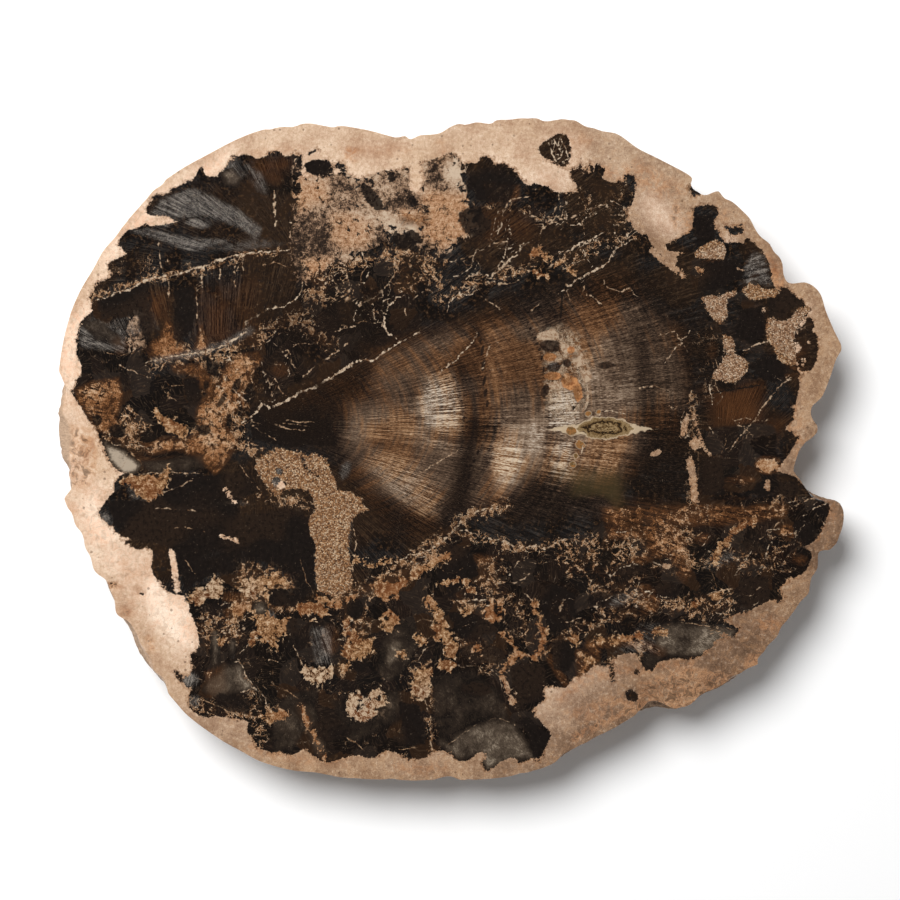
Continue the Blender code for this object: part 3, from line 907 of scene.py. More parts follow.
GREY = [
    (1.3, "147,222 158,216 178,220 166,226"),
    (1.25, oval(196, 195, 12, 4, 20)),
    (1.2, *ovals("198,223,13,4,8 276,482,5,5")),
    (1.0, "149,214 162,198 192,188 210,195 236,208 262,228 258,240 236,226 208,216 178,218",
     "127,230 150,228 192,238 232,240 206,248 190,252 160,240", "98,513 108,512 112,522 106,526",
     *ovals("215,648,4,16 190,680,8,8 279,471,4,4")),
    (0.9, "78,325 92,318 125,330 125,352 100,350 80,347", "221,162 234,160 244,176 232,186 222,176",
     line(5, "722,226 728,236 735,240"), *ovals("232,648,3,10 194,702,6,7")),
    (0.8, "752,250 766,256 773,285 745,285 742,272", *ovals("554,366,6,4 268,620,8,12 345,470,5,10,20")),
    (0.75, line(9, "250,330 225,344 200,352 154,361")),
    (0.7, "240,160 262,172 270,196 256,190", "309,627 334,626 332,664 315,666",
     "330,500 352,520 350,560 330,560", *ovals("620,600,16,6,-20 212,555,14,4,-20")),
    (0.6, "205,250 255,236 290,244 240,252", "120,470 160,505 240,500 250,505 180,512 130,500",
     oval(720, 560, 18, 8, -20)),
    (0.5, "610,655 640,622 740,625 738,635 720,643 705,655 665,655", "90,330 150,300 160,330 110,345"),
]
SMOKE = [
    (1.75, "104,442 112,447 124,451 138,466 135,473 122,473 114,466 108,456"),
    (1.4, "593,668 600,664 611,668 606,680 596,682", oval(215, 648, 3, 16)),
    (1.3, oval(260, 608, 7, 5)),
    (1.2, "222,172 232,169 240,178 236,187 225,185", oval(232, 648, 2, 8)),
    (1.1, "455,735 474,726 498,718 514,725 525,741 535,758 515,760 487,770 480,755 462,760 448,752"),
    (0.95, "656,626 672,622 700,625 735,630 735,640 705,655 668,657 658,645", oval(394, 653, 8, 14, 25)),
    (0.9, line(7, "441,742 455,752 462,758")),
    (0.85, "222,663 240,662 245,676 254,688 242,692 229,693 224,701 203,691 209,680 221,672"),
    (0.8, "300,704 311,702 321,728 328,757 317,757 307,730"),
    (0.7, "80,322 96,320 118,334 122,346 96,340"),
    (0.6, "140,462 165,460 176,457 202,456 204,468 180,472 150,473"),
    (0.5, "274,712 290,692 318,690 314,714 292,752 272,750", "150,495 240,500 236,508 160,506",
     "640,655 664,655 660,672 644,668", oval(712, 300, 10, 6)),
    (0.45, "376,674 382,640 398,620 416,622 416,646 404,672 390,682"),
    (0.42, "432,676 470,668 500,690 512,722 480,722 440,740 432,720"),
    (0.4, "330,700 400,690 404,720 350,745"),
]
OLIVE = [
    (1.0, "555,470 625,470 625,500 605,520 555,520"),
    (0.9, line(9, "520,520 540,528 565,530")),
    (0.7, oval(600, 427, 22, 8)),
    (0.5, oval(440, 232, 6, 4)),
]
print(count_of(RUST), "rust,", count_of(GREY), "grey and", count_of(SMOKE), "smoky zones")

# %% [markdown]
# The crushed wood has dark pieces at all angles, and a lace of tan stone runs between them. Where
# lace and pieces lie is marked apart, since the lace also follows some of the cracks.

# %% Zones of crushed wood and lace
BROKEN = [
    (1.0, """190,590 245,570 300,600 350,600 380,560 400,560 450,530 520,548 580,540 620,505 700,500
         800,497 830,504 820,560 770,600 740,630 660,663 570,690 545,760 480,770 250,750 190,710
         185,650"""),
    (0.8, "70,330 100,290 140,300 150,380 200,360 240,340 250,400 240,450 160,460 100,440 75,400"),
    (0.7, "690,430 780,420 775,470 790,490 700,500 685,470"),
    (0.6, "300,255 440,260 420,330 360,360 300,390 260,400 250,330 300,290"),
    (0.5, "200,170 300,160 300,200 220,200"),
    (0.4, "690,250 770,250 780,300 770,350 740,400 705,390 700,330"),
    (0.3, "480,165 640,180 640,235 580,300 480,300 440,260 470,240"),
]
LACE = [
    (1.3, line(3, "94,296 115,289 139,280 170,275 190,273 207,270 231,259 255,254 283,251")),
    (1.0, line(12, "396,566 425,553 445,535 470,515 505,505"),
     line(16, "338,598 368,590 398,576 430,560")),
    (0.9, "478,560 500,555 505,580 495,600 478,585", line(12, "455,590 475,612 495,612 500,600"),
     line(12, "640,515 665,540 690,560"), line(14, "460,645 485,650 490,665"),
     "235,560 300,570 300,612 240,615", line(10, "235,440 262,455 275,490")),
    (0.8, line(7, "455,530 480,536 512,546 545,548 570,540"), line(12, "585,625 560,640 545,650"),
     "340,600 365,600 368,660 342,662", line(12, "250,345 262,330 300,318 315,335 330,345"),
     "300,270 325,262 330,300 310,310", "140,345 215,345 215,362 150,368",
     line(10, "575,690 600,672 640,655"), "95,425 130,410 150,430 140,450 105,445"),
    (0.7, "190,620 235,615 245,640 200,650", line(10, "240,345 200,352 160,360"),
     line(14, "310,265 345,262 400,250 440,262"), line(10, "690,395 695,440 690,500"),
     line(12, "190,705 235,712 280,716"), line(14, "345,700 372,700 380,712"),
     "410,665 435,662 430,700 408,700", "660,600 730,590 735,612 670,618",
     line(9, "505,590 520,610 530,640")),
    (0.62, "175,365 250,350 262,380 240,440 215,470 190,450 205,400"),
    (0.6, line(9, "440,300 470,285 520,270 565,262 610,240 640,236"),
     line(10, "230,500 262,495 310,505"), "585,580 640,580 650,620 600,625", line(8, "430,700 432,750")),
    (0.55, "550,540 640,525 690,530 700,560 640,580 560,575", "375,240 440,250 450,290 400,290"),
    (0.5, "700,560 760,540 800,545 790,570 740,575", line(10, "250,700 262,745")),
    (0.45, line(10, "700,515 750,508 790,500")),
    (0.4, line(8, "470,205 510,205 540,215")),
    (0.25, "690,330 720,325 715,400 700,400", "110,265 150,255 190,262 180,275 120,285"),
    (0.15, "560,190 640,175 640,235 600,245 565,215"),
]
print(count_of(BROKEN), "crushed zones and", count_of(LACE), "runs of lace")

# %% [markdown]
# The mottled patch near the upper edge leans to light in some places and to dark in others. Peach
# stone shows in it and here and there in the rind, which is pale on the left and stained where
# the ground water came in.

# %% Zones of the mottled patch and of the rind
MOTTLED = [
    (1.0, """296,160 302,178 345,172 358,180 385,170 400,170 430,160 452,150 463,163 462,190 470,215
         478,228 465,235 452,246 440,252 425,247 415,240 408,232 400,240 392,228 385,240 365,250
         345,262 330,262 318,270 303,285 296,270 292,240 296,200 298,180"""),
    (0.9, oval(136, 331, 10, 19)),
]
MOTTLE_LIGHT = [
    (1.2, "384,212 412,208 424,226 408,234 388,230"),
    (1.1, "334,216 352,212 372,220 372,236 352,246 336,238"),
    (1.0, "340,172 360,176 392,170 400,196 380,190 362,182 345,180",
     "425,192 466,196 474,226 452,242 430,236", "406,162 426,162 424,190 412,196"),
    (0.9, "300,182 330,180 330,200 306,206", "306,262 326,262 322,276 308,276",
     "440,166 460,166 462,186 446,190"),
]
MOTTLE_DARK = [
    (1.3, "432,226 446,226 448,236 434,236"),
    (1.2, "384,198 430,196 428,212 392,212"),
    (1.0, "292,206 330,206 332,256 296,256", "426,156 446,158 438,184 424,180",
     "282,256 300,256 300,290 284,290"),
    (0.9, "380,240 420,238 430,254 390,258"),
    (0.8, "336,184 362,180 364,214 342,214", "370,228 386,232 384,244 366,246"),
]
PEACH = [
    (1.8, line(5, "404,214 418,220 432,222")),
    (1.3, "343,148 358,149 354,160 347,157"),
    (1.0, "425,190 470,195 478,228 460,240 440,250 425,240 415,215", "300,258 330,258 325,275 305,278"),
    (0.9, "286,176 306,176 310,206 296,214 286,200", "290,182 325,180 328,200 300,206",
     "766,254 780,268 786,290 776,288", oval(256, 169, 6, 4)),
    (0.8, "440,200 470,205 470,230 440,240", "332,214 352,214 372,222 368,245 345,250 330,240"),
    (0.7, line(6, "596,166 620,176 640,176"), oval(88, 445, 8, 16)),
    (0.6, "470,186 500,190 500,200 470,200", line(5, "232,160 262,152 300,150"),
     line(5, "64,380 60,410 62,430"), line(6, "560,700 590,676 640,668 690,664"),
     line(5, "250,748 300,760 350,762"), line(5, "815,494 828,502 832,516"),
     line(4, "440,140 445,150 440,160")),
    (0.5, "640,160 690,190 660,200 610,170", line(6, "800,370 796,410 790,440"),
     *ovals("580,140,16,6 420,768,30,5 690,230,8,20 380,150,30,6 770,625,14,8")),
]
STAIN = [
    (1.1, line(6, "640,706 660,701 690,696 720,689 745,680")),
    (1.0, line(5, "575,738 600,723 625,712 640,706")),
    (0.8, "640,683 690,668 735,678 735,702 690,712 645,706",
     *ovals("114,586,9,5 676,215,5,13 351,153,4,3")),
    (0.75, "60,432 68,424 82,426 90,438 96,452 97,470 90,486 76,492 64,478"),
    (0.7, *ovals("138,590,7,5 126,612,8,5,30 150,643,5,10,-20")),
    (0.6, "748,655 762,650 758,668 744,668", "765,255 778,268 784,288 774,284",
     *ovals("190,200,10,3 725,215,4,5")),
    (0.5, "560,715 600,700 640,692 640,705 590,722", *ovals("85,455,6,14 800,440,6,20")),
]
PALE = [
    (1.0, "60,330 95,300 95,270 150,205 230,150 235,160 160,200 110,262 92,300 78,340 74,385 60,380",
     "95,490 105,525 150,552 165,592 190,610 195,650 180,660 130,600 100,560 80,510",
     *ovals("317,675,20,14 361,706,20,18")),
    (0.8, "695,253 730,240 730,260 700,262", "700,295 740,290 730,325 705,315",
     *ovals("378,696,12,10 210,586,16,16 246,590,12,12")),
    (0.7, "766,315 812,306 797,368 770,345", "712,335 748,340 748,382 712,384",
     *ovals("560,150,22,20 425,692,10,12")),
    (0.6, *ovals("660,215,12,25,-40 510,690,8,16")),
    (0.5, "335,215 430,205 430,240 335,250"),
    (0.35, "500,130 540,140 545,165 575,172 570,190 530,185 495,160"),
]
print(count_of(MOTTLE_LIGHT + MOTTLE_DARK), "mottles,", count_of(STAIN), "stains")

# %% [markdown]
# Beside the knot a column of the wood kept its cells. The largest of them were filled with stone
# of three colours, and these are placed one by one.

# %% Large cells beside the knot
CELLS = [
    (1.0, """540,332 560,326 580,336 584,352 590,360 586,380 584,402 578,412 570,420 556,420 548,404
         544,384 546,360"""),
]
CELL_DARK = [
    "539,343 546,340 559,341 560,351 548,352 541,349", "598,363 608,361 617,365 606,369 599,368",
    *ovals("567,363,5,4,35 554,367,7,5,-8 545,391,4,7,20 592,414,2,2"),
]
CELL_RUST = [
    "561,380 568,375 577,378 580,386 572,391 563,387", "574,386 581,385 583,397 578,403 574,396",
    *ovals("550,357,7,4 553,376,9,4 571,350,4,4"),
]
CELL_CREAM = [
    "534,339 539,333 553,328 558,334 560,340 545,340",
    "560,341 571,346 583,353 585,364 576,368 570,356 561,350",
    line(3, "581,370 586,384 588,400 583,412"), line(2, "540,354 548,362 562,361"),
    line(2, "545,372 553,372 562,372"), *ovals("557,385,9,4 587,376,5,6"),
]
print(len(CELL_DARK), "dark,", len(CELL_RUST), "rusty and", len(CELL_CREAM), "cream cells")

# %% [markdown]
# ## Giving every point its marks
#
# The shapes become numbers on the mesh's points: how deep a point lies in the rind, how strong the
# rust is there, which way the wood's rays run. The material reads them back by name. Depths are
# in millimetres, so that the noise that roughens their edges can be given in millimetres too.

# %% Ways, widths and slow noise
CRACK_REACH = 25


def crack_marks(spots):
    """The way to the nearest pale thread, how far it is, how wide and how pale it is there."""
    way = np.full((len(spots), 2), FAR_AWAY)
    far = np.full(len(spots), FAR_AWAY)
    width = np.ones(len(spots))
    light = np.zeros(len(spots))
    for thickness, paleness, places in all_threads:
        low, high = places.min(axis=0) - CRACK_REACH, places.max(axis=0) + CRACK_REACH
        near = np.flatnonzero(np.all((spots > low) & (spots < high), axis=1))
        offset, length = nearest_offset(spots[near], places, False)
        closer = length < far[near]
        chosen = near[closer]
        way[chosen], far[chosen] = offset[closer], length[closer]
        width[chosen], light[chosen] = thickness, paleness
    return way * STEP_MM, far * STEP_MM, width * STEP_MM, light


def drift(places, size_mm, octaves, start):
    """Slow noise from 0 to 1 at every point, with lumps of the given size."""
    shift = Vector((start, start * 2, start * 3))
    return np.array([0.5 + 0.5 * noise.fractal(Vector(place) * (1000 / size_mm) + shift, 1.0, 2.0, octaves)
                     for place in places])


# %% [markdown]
# Rays and rings need a middle to run round. For most of the slab that is the pith, but the log
# broke into blocks as it settled, and each of three blocks has a middle of its own.

# %% Rays and rings
PITH = np.array([255.0, 424.0])
RING_LEAN, RING_LEAST = math.radians(5), 0.4
RAY_UNITS = 100
BLOCKS = [
    (np.array([310.0, 278.0]), patch("120,225 146,212 200,165 300,155 303,255 240,254 180,272 105,285")),
    (np.array([215.0, 520.0]), patch("105,285 180,272 240,254 303,255 300,300 250,330 140,345 90,320")),
    (np.array([720.0, 470.0]), patch("712,385 800,375 805,440 770,455 715,430")),
]


def grain_marks(spots):
    """Which ray a point lies on, how far from the pith along it, and on which ring."""
    centre = np.tile(PITH, (len(spots), 1))
    for apex, shape in BLOCKS:
        centre[depth_in(spots, shape) > 0] = apex
    away = spots - centre
    run = np.hypot(away[:, 0], away[:, 1])
    ray = np.arctan2(away[:, 1], away[:, 0])
    across = away[:, 0] * math.cos(RING_LEAN) - away[:, 1] * math.sin(RING_LEAN)
    ring = run ** 2 / np.maximum(across, RING_LEAST * run + 1e-6)
    return ray * RAY_UNITS, run * STEP_MM, ring * STEP_MM


# %% Marks from the shapes
RIM_BAND, RIM_FADE = 0.0018, 0.0009
SLOW_NOISE, GATE_NOISE = (34, 3, 1.7), (9, 2, 4.2)
SEAM_FADE, BLACK_FADE, LEAN_FADE = 0.9, 8, 10
SOFT_ZONES = {
    "heart": (HEART, 16), "silver": (SILVER, 9), "brown": (BROWN, 12), "dim": (DIM, 13),
    "rust": (RUST, 5), "grey": (GREY, 5), "smoke": (SMOKE, 5), "olive": (OLIVE, 8),
    "broken": (BROKEN, 8), "lace": (LACE, 7), "mottled": (MOTTLED, 8), "peach": (PEACH, 7),
    "stain": (STAIN, 5), "pale": (PALE, 14), "cells": (CELLS, 5),
}
FIRM_PATCHES = {"cell_dark": CELL_DARK, "cell_rust": CELL_RUST, "cell_cream": CELL_CREAM, "hole": HOLES}

places = np.array([vert.co for vert in stone_mesh.verts])
spots = VIEW_CENTRE + places[:, :2] * (1, -1) / FACE_STEP
depth_below = top_height - places[:, 2]

rind = np.maximum(-depth_in(spots, CORE), sharp(spots, RIND_ISLANDS))
rind = np.minimum(rind, -sharp(spots, CORE_CRUMBS))
rind = np.maximum(rind, sharp(spots, PALE_STRIPES))
sand = np.minimum(sharp(spots, SAND), -sharp(spots, SAND_GAPS))
lump = np.minimum(sharp(spots, LUMPS), -sharp(spots, HOLES))
seams = soft(spots, [(1.0, *DARK_SEAMS)], SEAM_FADE)
crack_way, crack_far, crack_width, crack_light = crack_marks(spots)

marks = {name: soft(spots, zones, fade) for name, (zones, fade) in SOFT_ZONES.items()}
marks.update({name: sharp(spots, shapes) * STEP_MM for name, shapes in FIRM_PATCHES.items()})
marks.update({
    "rind": rind * STEP_MM, "sand": sand * STEP_MM, "lump": lump * STEP_MM,
    "crack_far": crack_far, "crack_width": crack_width, "crack_light": crack_light,
    "slow": drift(places, *SLOW_NOISE), "gate": drift(places, *GATE_NOISE),
    "black": np.maximum(soft(spots, CLEAN_BLACK, BLACK_FADE), seams),
    "mottle_lean": soft(spots, MOTTLE_LIGHT, LEAN_FADE) - soft(spots, MOTTLE_DARK, LEAN_FADE),
    "side": np.clip((depth_below - RIM_BAND) / RIM_FADE, 0, 1) * (places[:, 2] > LEVEL_TOLERANCE),
    "underside": (places[:, 2] < LEVEL_TOLERANCE) * 1.0,
})
arrows = {"crack_way": np.column_stack([crack_way, np.zeros(len(spots))]),
          "grain": np.column_stack(grain_marks(spots))}
print("marks on", len(spots), "points:", ", ".join(sorted(marks)))

# %% [markdown]
# ## Pits and chips on the rim
#
# The rind is softer than the core, so the polish has left hollows in it. The larger ones are real
# dips of the mesh, each row a depth in millimetres and its shapes; the small ones are colour alone.

# %% Sink the hollows
HOLLOWS = [
    (1.6, "688,186 696,184 701,190 700,195 692,195"),
    (1.4, oval(750, 657, 9, 7)),
    (1.2, *ovals("112,585,6,5 140,593,7,4,25 148,641,4,8,-20")),
    (1.0, *ovals("125,609,6,4,20 637,672,5,4")),
    (0.9, "62,432 70,426 82,430 90,446 94,465 88,484 76,490 66,470",
     "640,690 690,680 730,684 728,700 680,706 642,704"),
    (0.8, line(5, "176,673 183,681"), *ovals("632,696,9,6 740,640,6,5")),
    (0.7, *ovals("685,664,7,4 560,720,8,4")),
    (0.6, *ovals("400,140,7,3 258,140,6,3 96,555,4,6 300,768,9,3")),
]
HOLLOW_SLOPE, HOLLOW_START = 4, 0.35
HOLLOW_LEAST, HOLLOW_SWING, HOLLOW_GRAIN = 0.7, 0.6, 420


def sink_hollows(mesh, spots):
    """Lower the polished points inside the hollows, most in their middles."""
    drop = np.zeros(len(spots))
    for depth_mm, *shapes in HOLLOWS:
        share = np.clip(sharp(spots, shapes) / HOLLOW_SLOPE + HOLLOW_START, 0, 1)
        drop = np.maximum(drop, depth_mm * share)
    for index, vert in enumerate(mesh.verts):
        if vert.co.z > top_height - LEVEL_TOLERANCE and drop[index] > 0:
            uneven = HOLLOW_LEAST + HOLLOW_SWING * noise.noise(vert.co * HOLLOW_GRAIN)
            vert.co.z -= drop[index] * uneven / 1000
    return int((drop > 0).sum())


print(sink_hollows(stone_mesh, spots), "points lie in hollows")

# %% [markdown]
# ## From points to an object
#
# The border of the polished face stays a crisp edge, so the edges where the two flat faces end are
# marked sharp. Everything else is smooth shaded, because the side's relief is already in the mesh.

# %% Make the object
CREASE = math.radians(38)


def make_object(mesh):
    """The finished slab as a scene object with all its marks."""
    for face in mesh.faces:
        face.smooth = True
    for edge in mesh.edges:
        if len(edge.link_faces) == 2 and edge.calc_face_angle(0) > CREASE:
            level = [abs(face.normal.z) > FLAT_NORMAL for face in edge.link_faces]
            edge.smooth = level[0] == level[1]
    data = bpy.data.meshes.new(PIECE)
    mesh.to_mesh(data)
    for name, values in marks.items():
        data.attributes.new(name, "FLOAT", "POINT").data.foreach_set("value", values.astype(np.float32))
    for name, values in arrows.items():
        spread = values.astype(np.float32).ravel()
        data.attributes.new(name, "FLOAT_VECTOR", "POINT").data.foreach_set("vector", spread)
    slab = bpy.data.objects.new(PIECE, data)
    bpy.context.scene.collection.objects.link(slab)
    return slab


slab = make_object(stone_mesh)
stone_mesh.free()
print(slab.name, "has", len(slab.data.polygons), "faces")

# %% [markdown]
# ## A small kit for wiring nodes
#
# The stone is one material, because it is one piece, but it is built up in layers: each kind of
# stone is laid over those before it wherever its mark is strong. A few short helpers keep the
# wiring readable: one adds a node, the others name the sums that come up again and again.

# %% Nodes and sums
petrified = bpy.data.materials.new("petrified_stone")
petrified.use_nodes = True
nodes, links = petrified.node_tree.nodes, petrified.node_tree.links
nodes.clear()


def add(kind, *values, **settings):
    """A node with its settings made and its first sockets fed in order."""
    made = nodes.new(kind)
    for name, setting in settings.items():
        setattr(made, name, setting)
    for socket, value in zip(made.inputs, values):
        feed(socket, value)
    return made


def feed(socket, value):
    """Wire one node's result into a socket, or set the socket's own value."""
    if isinstance(value, bpy.types.NodeSocket):
        links.new(value, socket)
    elif value is not None:
        socket.default_value = value


def chained(kind, value, *others):
    """One value worked out from several, two at a time."""
    for other in others:
        value = add("ShaderNodeMath", value, other, operation=kind).outputs[0]
    return value


def plus(*terms):
    return chained("ADD", *terms)


def times(*factors):
    return chained("MULTIPLY", *factors)


def less(first, second):
    return chained("SUBTRACT", first, second)


def most(first, second):
    return chained("MAXIMUM", first, second)


def least(first, second):
    return chained("MINIMUM", first, second)


def mixed(*parts):
    """Several values added up, each by its own share."""
    return plus(*[times(value, share) for value, share in parts])


def swing(value, amount):
    """Noise made into a push of either sign, half the amount at most."""
    return times(less(value, 0.5), amount)


def ease(value, low, high):
    """Smoothly 0 below low and 1 above high."""
    return add("ShaderNodeMapRange", value, low, high, 0.0, 1.0, interpolation_type="SMOOTHSTEP").outputs[0]


def mark(name):
    """One of the marks that the mesh's points carry."""
    return add("ShaderNodeAttribute", attribute_name=name).outputs["Fac"]


def arrow(name):
    return add("ShaderNodeAttribute", attribute_name=name).outputs["Vector"]


def split(vector):
    return add("ShaderNodeSeparateXYZ", vector).outputs[:3]


def join(x, y, z=0.0):
    return add("ShaderNodeCombineXYZ", x, y, z).outputs[0]


def shift(vector, by):
    return add("ShaderNodeVectorMath", vector, by, operation="ADD").outputs[0]


def stretch(vector, by):
    return add("ShaderNodeVectorMath", vector, by, operation="MULTIPLY").outputs[0]


def length(vector):
    return add("ShaderNodeVectorMath", vector, operation="LENGTH").outputs["Value"]


# %% Noises and broken cells
def cloud(place, scale, detail=3.0, rough=0.55, solid=False):
    """Soft noise between 0 and 1, with 1/scale as the size of its lumps."""
    made = add("ShaderNodeTexNoise", place, noise_dimensions="3D" if solid else "2D")
    for name, value in (("Scale", scale), ("Detail", detail), ("Roughness", rough)):
        made.inputs[name].default_value = value
    return made.outputs["Fac"]


def bent(place, scale, amount):
    """The place pushed about by noise, so that what is drawn there gets wandering edges."""
    made = add("ShaderNodeTexNoise", place, noise_dimensions="2D")
    for name, value in (("Scale", scale), ("Detail", 1.0), ("Roughness", 0.5)):
        made.inputs[name].default_value = value
    push = stretch(shift(made.outputs["Color"], (-0.5, -0.5, -0.5)), (amount, amount, 0.0))
    return shift(place, push)


def shards(place, scale):
    """Cells like broken pieces; gives how far each middle is and three random numbers a cell."""
    made = add("ShaderNodeTexVoronoi", place, voronoi_dimensions="2D")
    made.inputs["Scale"].default_value = scale
    return made.outputs["Distance"], split(made.outputs["Color"])


def walls(place, scale):
    """How far the nearest wall between those cells is, in the units of the place."""
    made = add("ShaderNodeTexVoronoi", place, voronoi_dimensions="2D", feature="DISTANCE_TO_EDGE")
    made.inputs["Scale"].default_value = scale
    return times(made.outputs["Distance"], 1 / scale)


# %% Colours
LAMP_GAIN = 1.45


def tone(red, green, blue):
    """The stone's own colour, given as it looks from 0 to 255 under the lamp."""
    parts = [part / 255 for part in (red, green, blue)]
    linear = [((part + 0.055) / 1.055) ** 2.4 if part > 0.04 else part / 12.92 for part in parts]
    return tuple(part / LAMP_GAIN for part in linear) + (1.0,)


def over(base, share, colour, way="MIX"):
    """Lay one colour over another."""
    made = add("ShaderNodeMix", data_type="RGBA", blend_type=way, clamp_factor=True)
    feed(made.inputs[0], share)
    feed(made.inputs[6], base)
    feed(made.inputs[7], colour)
    return made.outputs[2]


def blend(base, share, value):
    """The same for plain numbers."""
    made = add("ShaderNodeMix", data_type="FLOAT", clamp_factor=True)
    feed(made.inputs[0], share)
    feed(made.inputs[2], base)
    feed(made.inputs[3], value)
    return made.outputs[0]


def ladder(value, *steps, hard=False):
    """Colours at places from 0 to 1; a step is its place, then its red, green and blue."""
    made = add("ShaderNodeValToRGB", value)
    band = made.color_ramp
    band.interpolation = "CONSTANT" if hard else "LINEAR"
    while len(band.elements) < len(steps):
        band.elements.new(0.5)
    for element, (place, *colour) in zip(band.elements, steps):
        element.position = place
        element.color = tone(*colour)
    return made.outputs[0]


def tell(layer):
    """Say which layer of the material is done."""
    print(f"{layer}: {len(nodes)} nodes so far")


metres = add("ShaderNodeTexCoord").outputs["Object"]
PLACE = stretch(metres, (1000.0, 1000.0, 1000.0))
place_x, place_y, _ = split(PLACE)

# %% [markdown]
# ## The black core
#
# Silica with a little iron and carbon is nearly black. It isn't even: slow clouds of chocolate run
# through the black, and very fine flecks break both up. The noises made here are used again for
# most of the other stones, which saves render time and ties the stones together.

# %% Black and chocolate
BLACK, INK, CHOCOLATE, UMBER = tone(23, 19, 17), tone(38, 32, 29), tone(48, 35, 26), tone(92, 66, 44)
flecks = cloud(PLACE, 0.55, 3.0, 0.68)
fine = cloud(PLACE, 1.9, 3.0, 0.65)
lace = cloud(bent(PLACE, 0.22, 5.0), 0.34, 4.0, 0.62)
ragged = plus(lace, swing(fine, 0.36))
grit = mixed((fine, 0.5), (flecks, 0.5))
dust = mixed((fine, 0.7), (flecks, 0.3))
slow, gate = mark("slow"), mark("gate")
core = over(BLACK, ease(slow, 0.40, 0.68), CHOCOLATE)
core = over(core, times(ease(flecks, 0.50, 0.74), 0.7), UMBER)
core = over(core, times(ease(ragged, 0.44, 0.30), 0.8), INK)
tell("black core")

# %% [markdown]
# ## Rays and rings
#
# Rays run straight out from the pith and rings cross them. Both are noise, stretched along the
# mark that says which ray or ring a point is on: where noise hardly changes along one direction,
# it reads as threads in that direction.

# %% Heartwood
ray_mark, run_mark, ring_mark = split(arrow("grain"))
threads = cloud(join(ray_mark, times(run_mark, 0.04)), 1.55, 3.0, 0.68)
hairs = cloud(join(plus(ray_mark, 8.0), times(run_mark, 0.10)), 5.5, 2.0, 0.65)
bands = cloud(join(times(ring_mark, 0.34), times(ray_mark, 0.03)), 1.0, 3.0, 0.68)
grain = mixed((threads, 0.6), (hairs, 0.4))
silver_light = plus(0.02, times(ease(grain, 0.42, 0.60), 0.27))
heart_light = plus(0.085, times(threads, 0.36), times(bands, 0.21), swing(hairs, 0.46), swing(fine, 0.12),
                   times(mark("brown"), 0.14), times(mark("silver"), silver_light))
heart_grey = ladder(heart_light, (0.30, 24, 19, 17), (0.40, 46, 36, 30), (0.50, 82, 64, 51),
                    (0.60, 128, 104, 84), (0.72, 176, 152, 129), (0.88, 236, 220, 200))
heart_tan = ladder(heart_light, (0.30, 26, 18, 13), (0.40, 50, 33, 22), (0.50, 92, 60, 37),
                   (0.60, 142, 99, 65), (0.72, 190, 148, 108), (0.88, 236, 210, 178))
tan_share = times(ease(mixed((bands, 0.4), (slow, 0.6)), 0.44, 0.62), 0.85)
core = over(core, times(mark("heart"), 0.97), over(heart_grey, tan_share, heart_tan))
tell("heartwood")

# %% [markdown]
# The wood outside the heart has the same grain, but it is far darker: brown in some parts and
# grey in others, and warmer where the brown zones lie.

# %% Outer wood
outside = less(1.0, mark("heart"))
outer_brown = ladder(grain, (0.38, 19, 16, 14), (0.52, 40, 30, 24), (0.70, 112, 88, 66))
outer_grey = ladder(grain, (0.40, 24, 22, 22), (0.54, 46, 44, 43), (0.70, 98, 93, 88))
outer_wood = over(outer_brown, ease(slow, 0.54, 0.42), outer_grey)
core = over(core, times(outside, 0.50, ease(gate, 0.30, 0.56)), outer_wood)
warm_wood = ladder(grain, (0.38, 32, 21, 15), (0.52, 84, 52, 31), (0.72, 140, 94, 58))
core = over(core, times(mark("brown"), outside, 0.8), warm_wood)
tell("outer wood")

# %% [markdown]
# ## Cells in the light column
#
# A band of the heartwood kept its cells: each one holds stone of its own colour behind a thin
# white wall. The large ones are marks on the mesh, filled here; a texture draws the fine walls.

# %% Cells
CELLS_PER_MM = 0.36
CELL_FILLS = [
    ("cell_cream", tone(204, 178, 150), tone(160, 126, 98)),
    ("cell_dark", tone(34, 26, 22), tone(62, 46, 36)),
    ("cell_rust", tone(216, 152, 98), tone(166, 104, 62)),
]
net_place = bent(PLACE, 0.34, 1.9)
cell_wall = walls(net_place, CELLS_PER_MM)
cell_colour = ladder(mixed((fine, 0.4), (flecks, 0.6)),
                     (0.38, 104, 78, 58), (0.48, 160, 130, 102), (0.60, 216, 194, 166))
cell_colour = over(cell_colour, times(ease(cell_wall, 0.30, 0.08), 0.6), tone(214, 190, 162))
core = over(core, times(mark("cells"), ease(ragged, 0.42, 0.56), 0.7), cell_colour)
soft_teeth = swing(fine, 1.4)
for name, light, dark in CELL_FILLS:
    fill = over(light, ease(flecks, 0.44, 0.60), dark)
    core = over(core, times(ease(plus(mark(name), soft_teeth), -0.3, 0.3), 0.92), fill)
tell("cells")

# %% [markdown]
# ## Crushed wood
#
# Where the log was crushed, dark pieces a few millimetres wide lie at all angles. Cells stand for
# the pieces: each draws its own shade and its own direction of grain, and wandering edges keep the
# cells from looking like tiles.

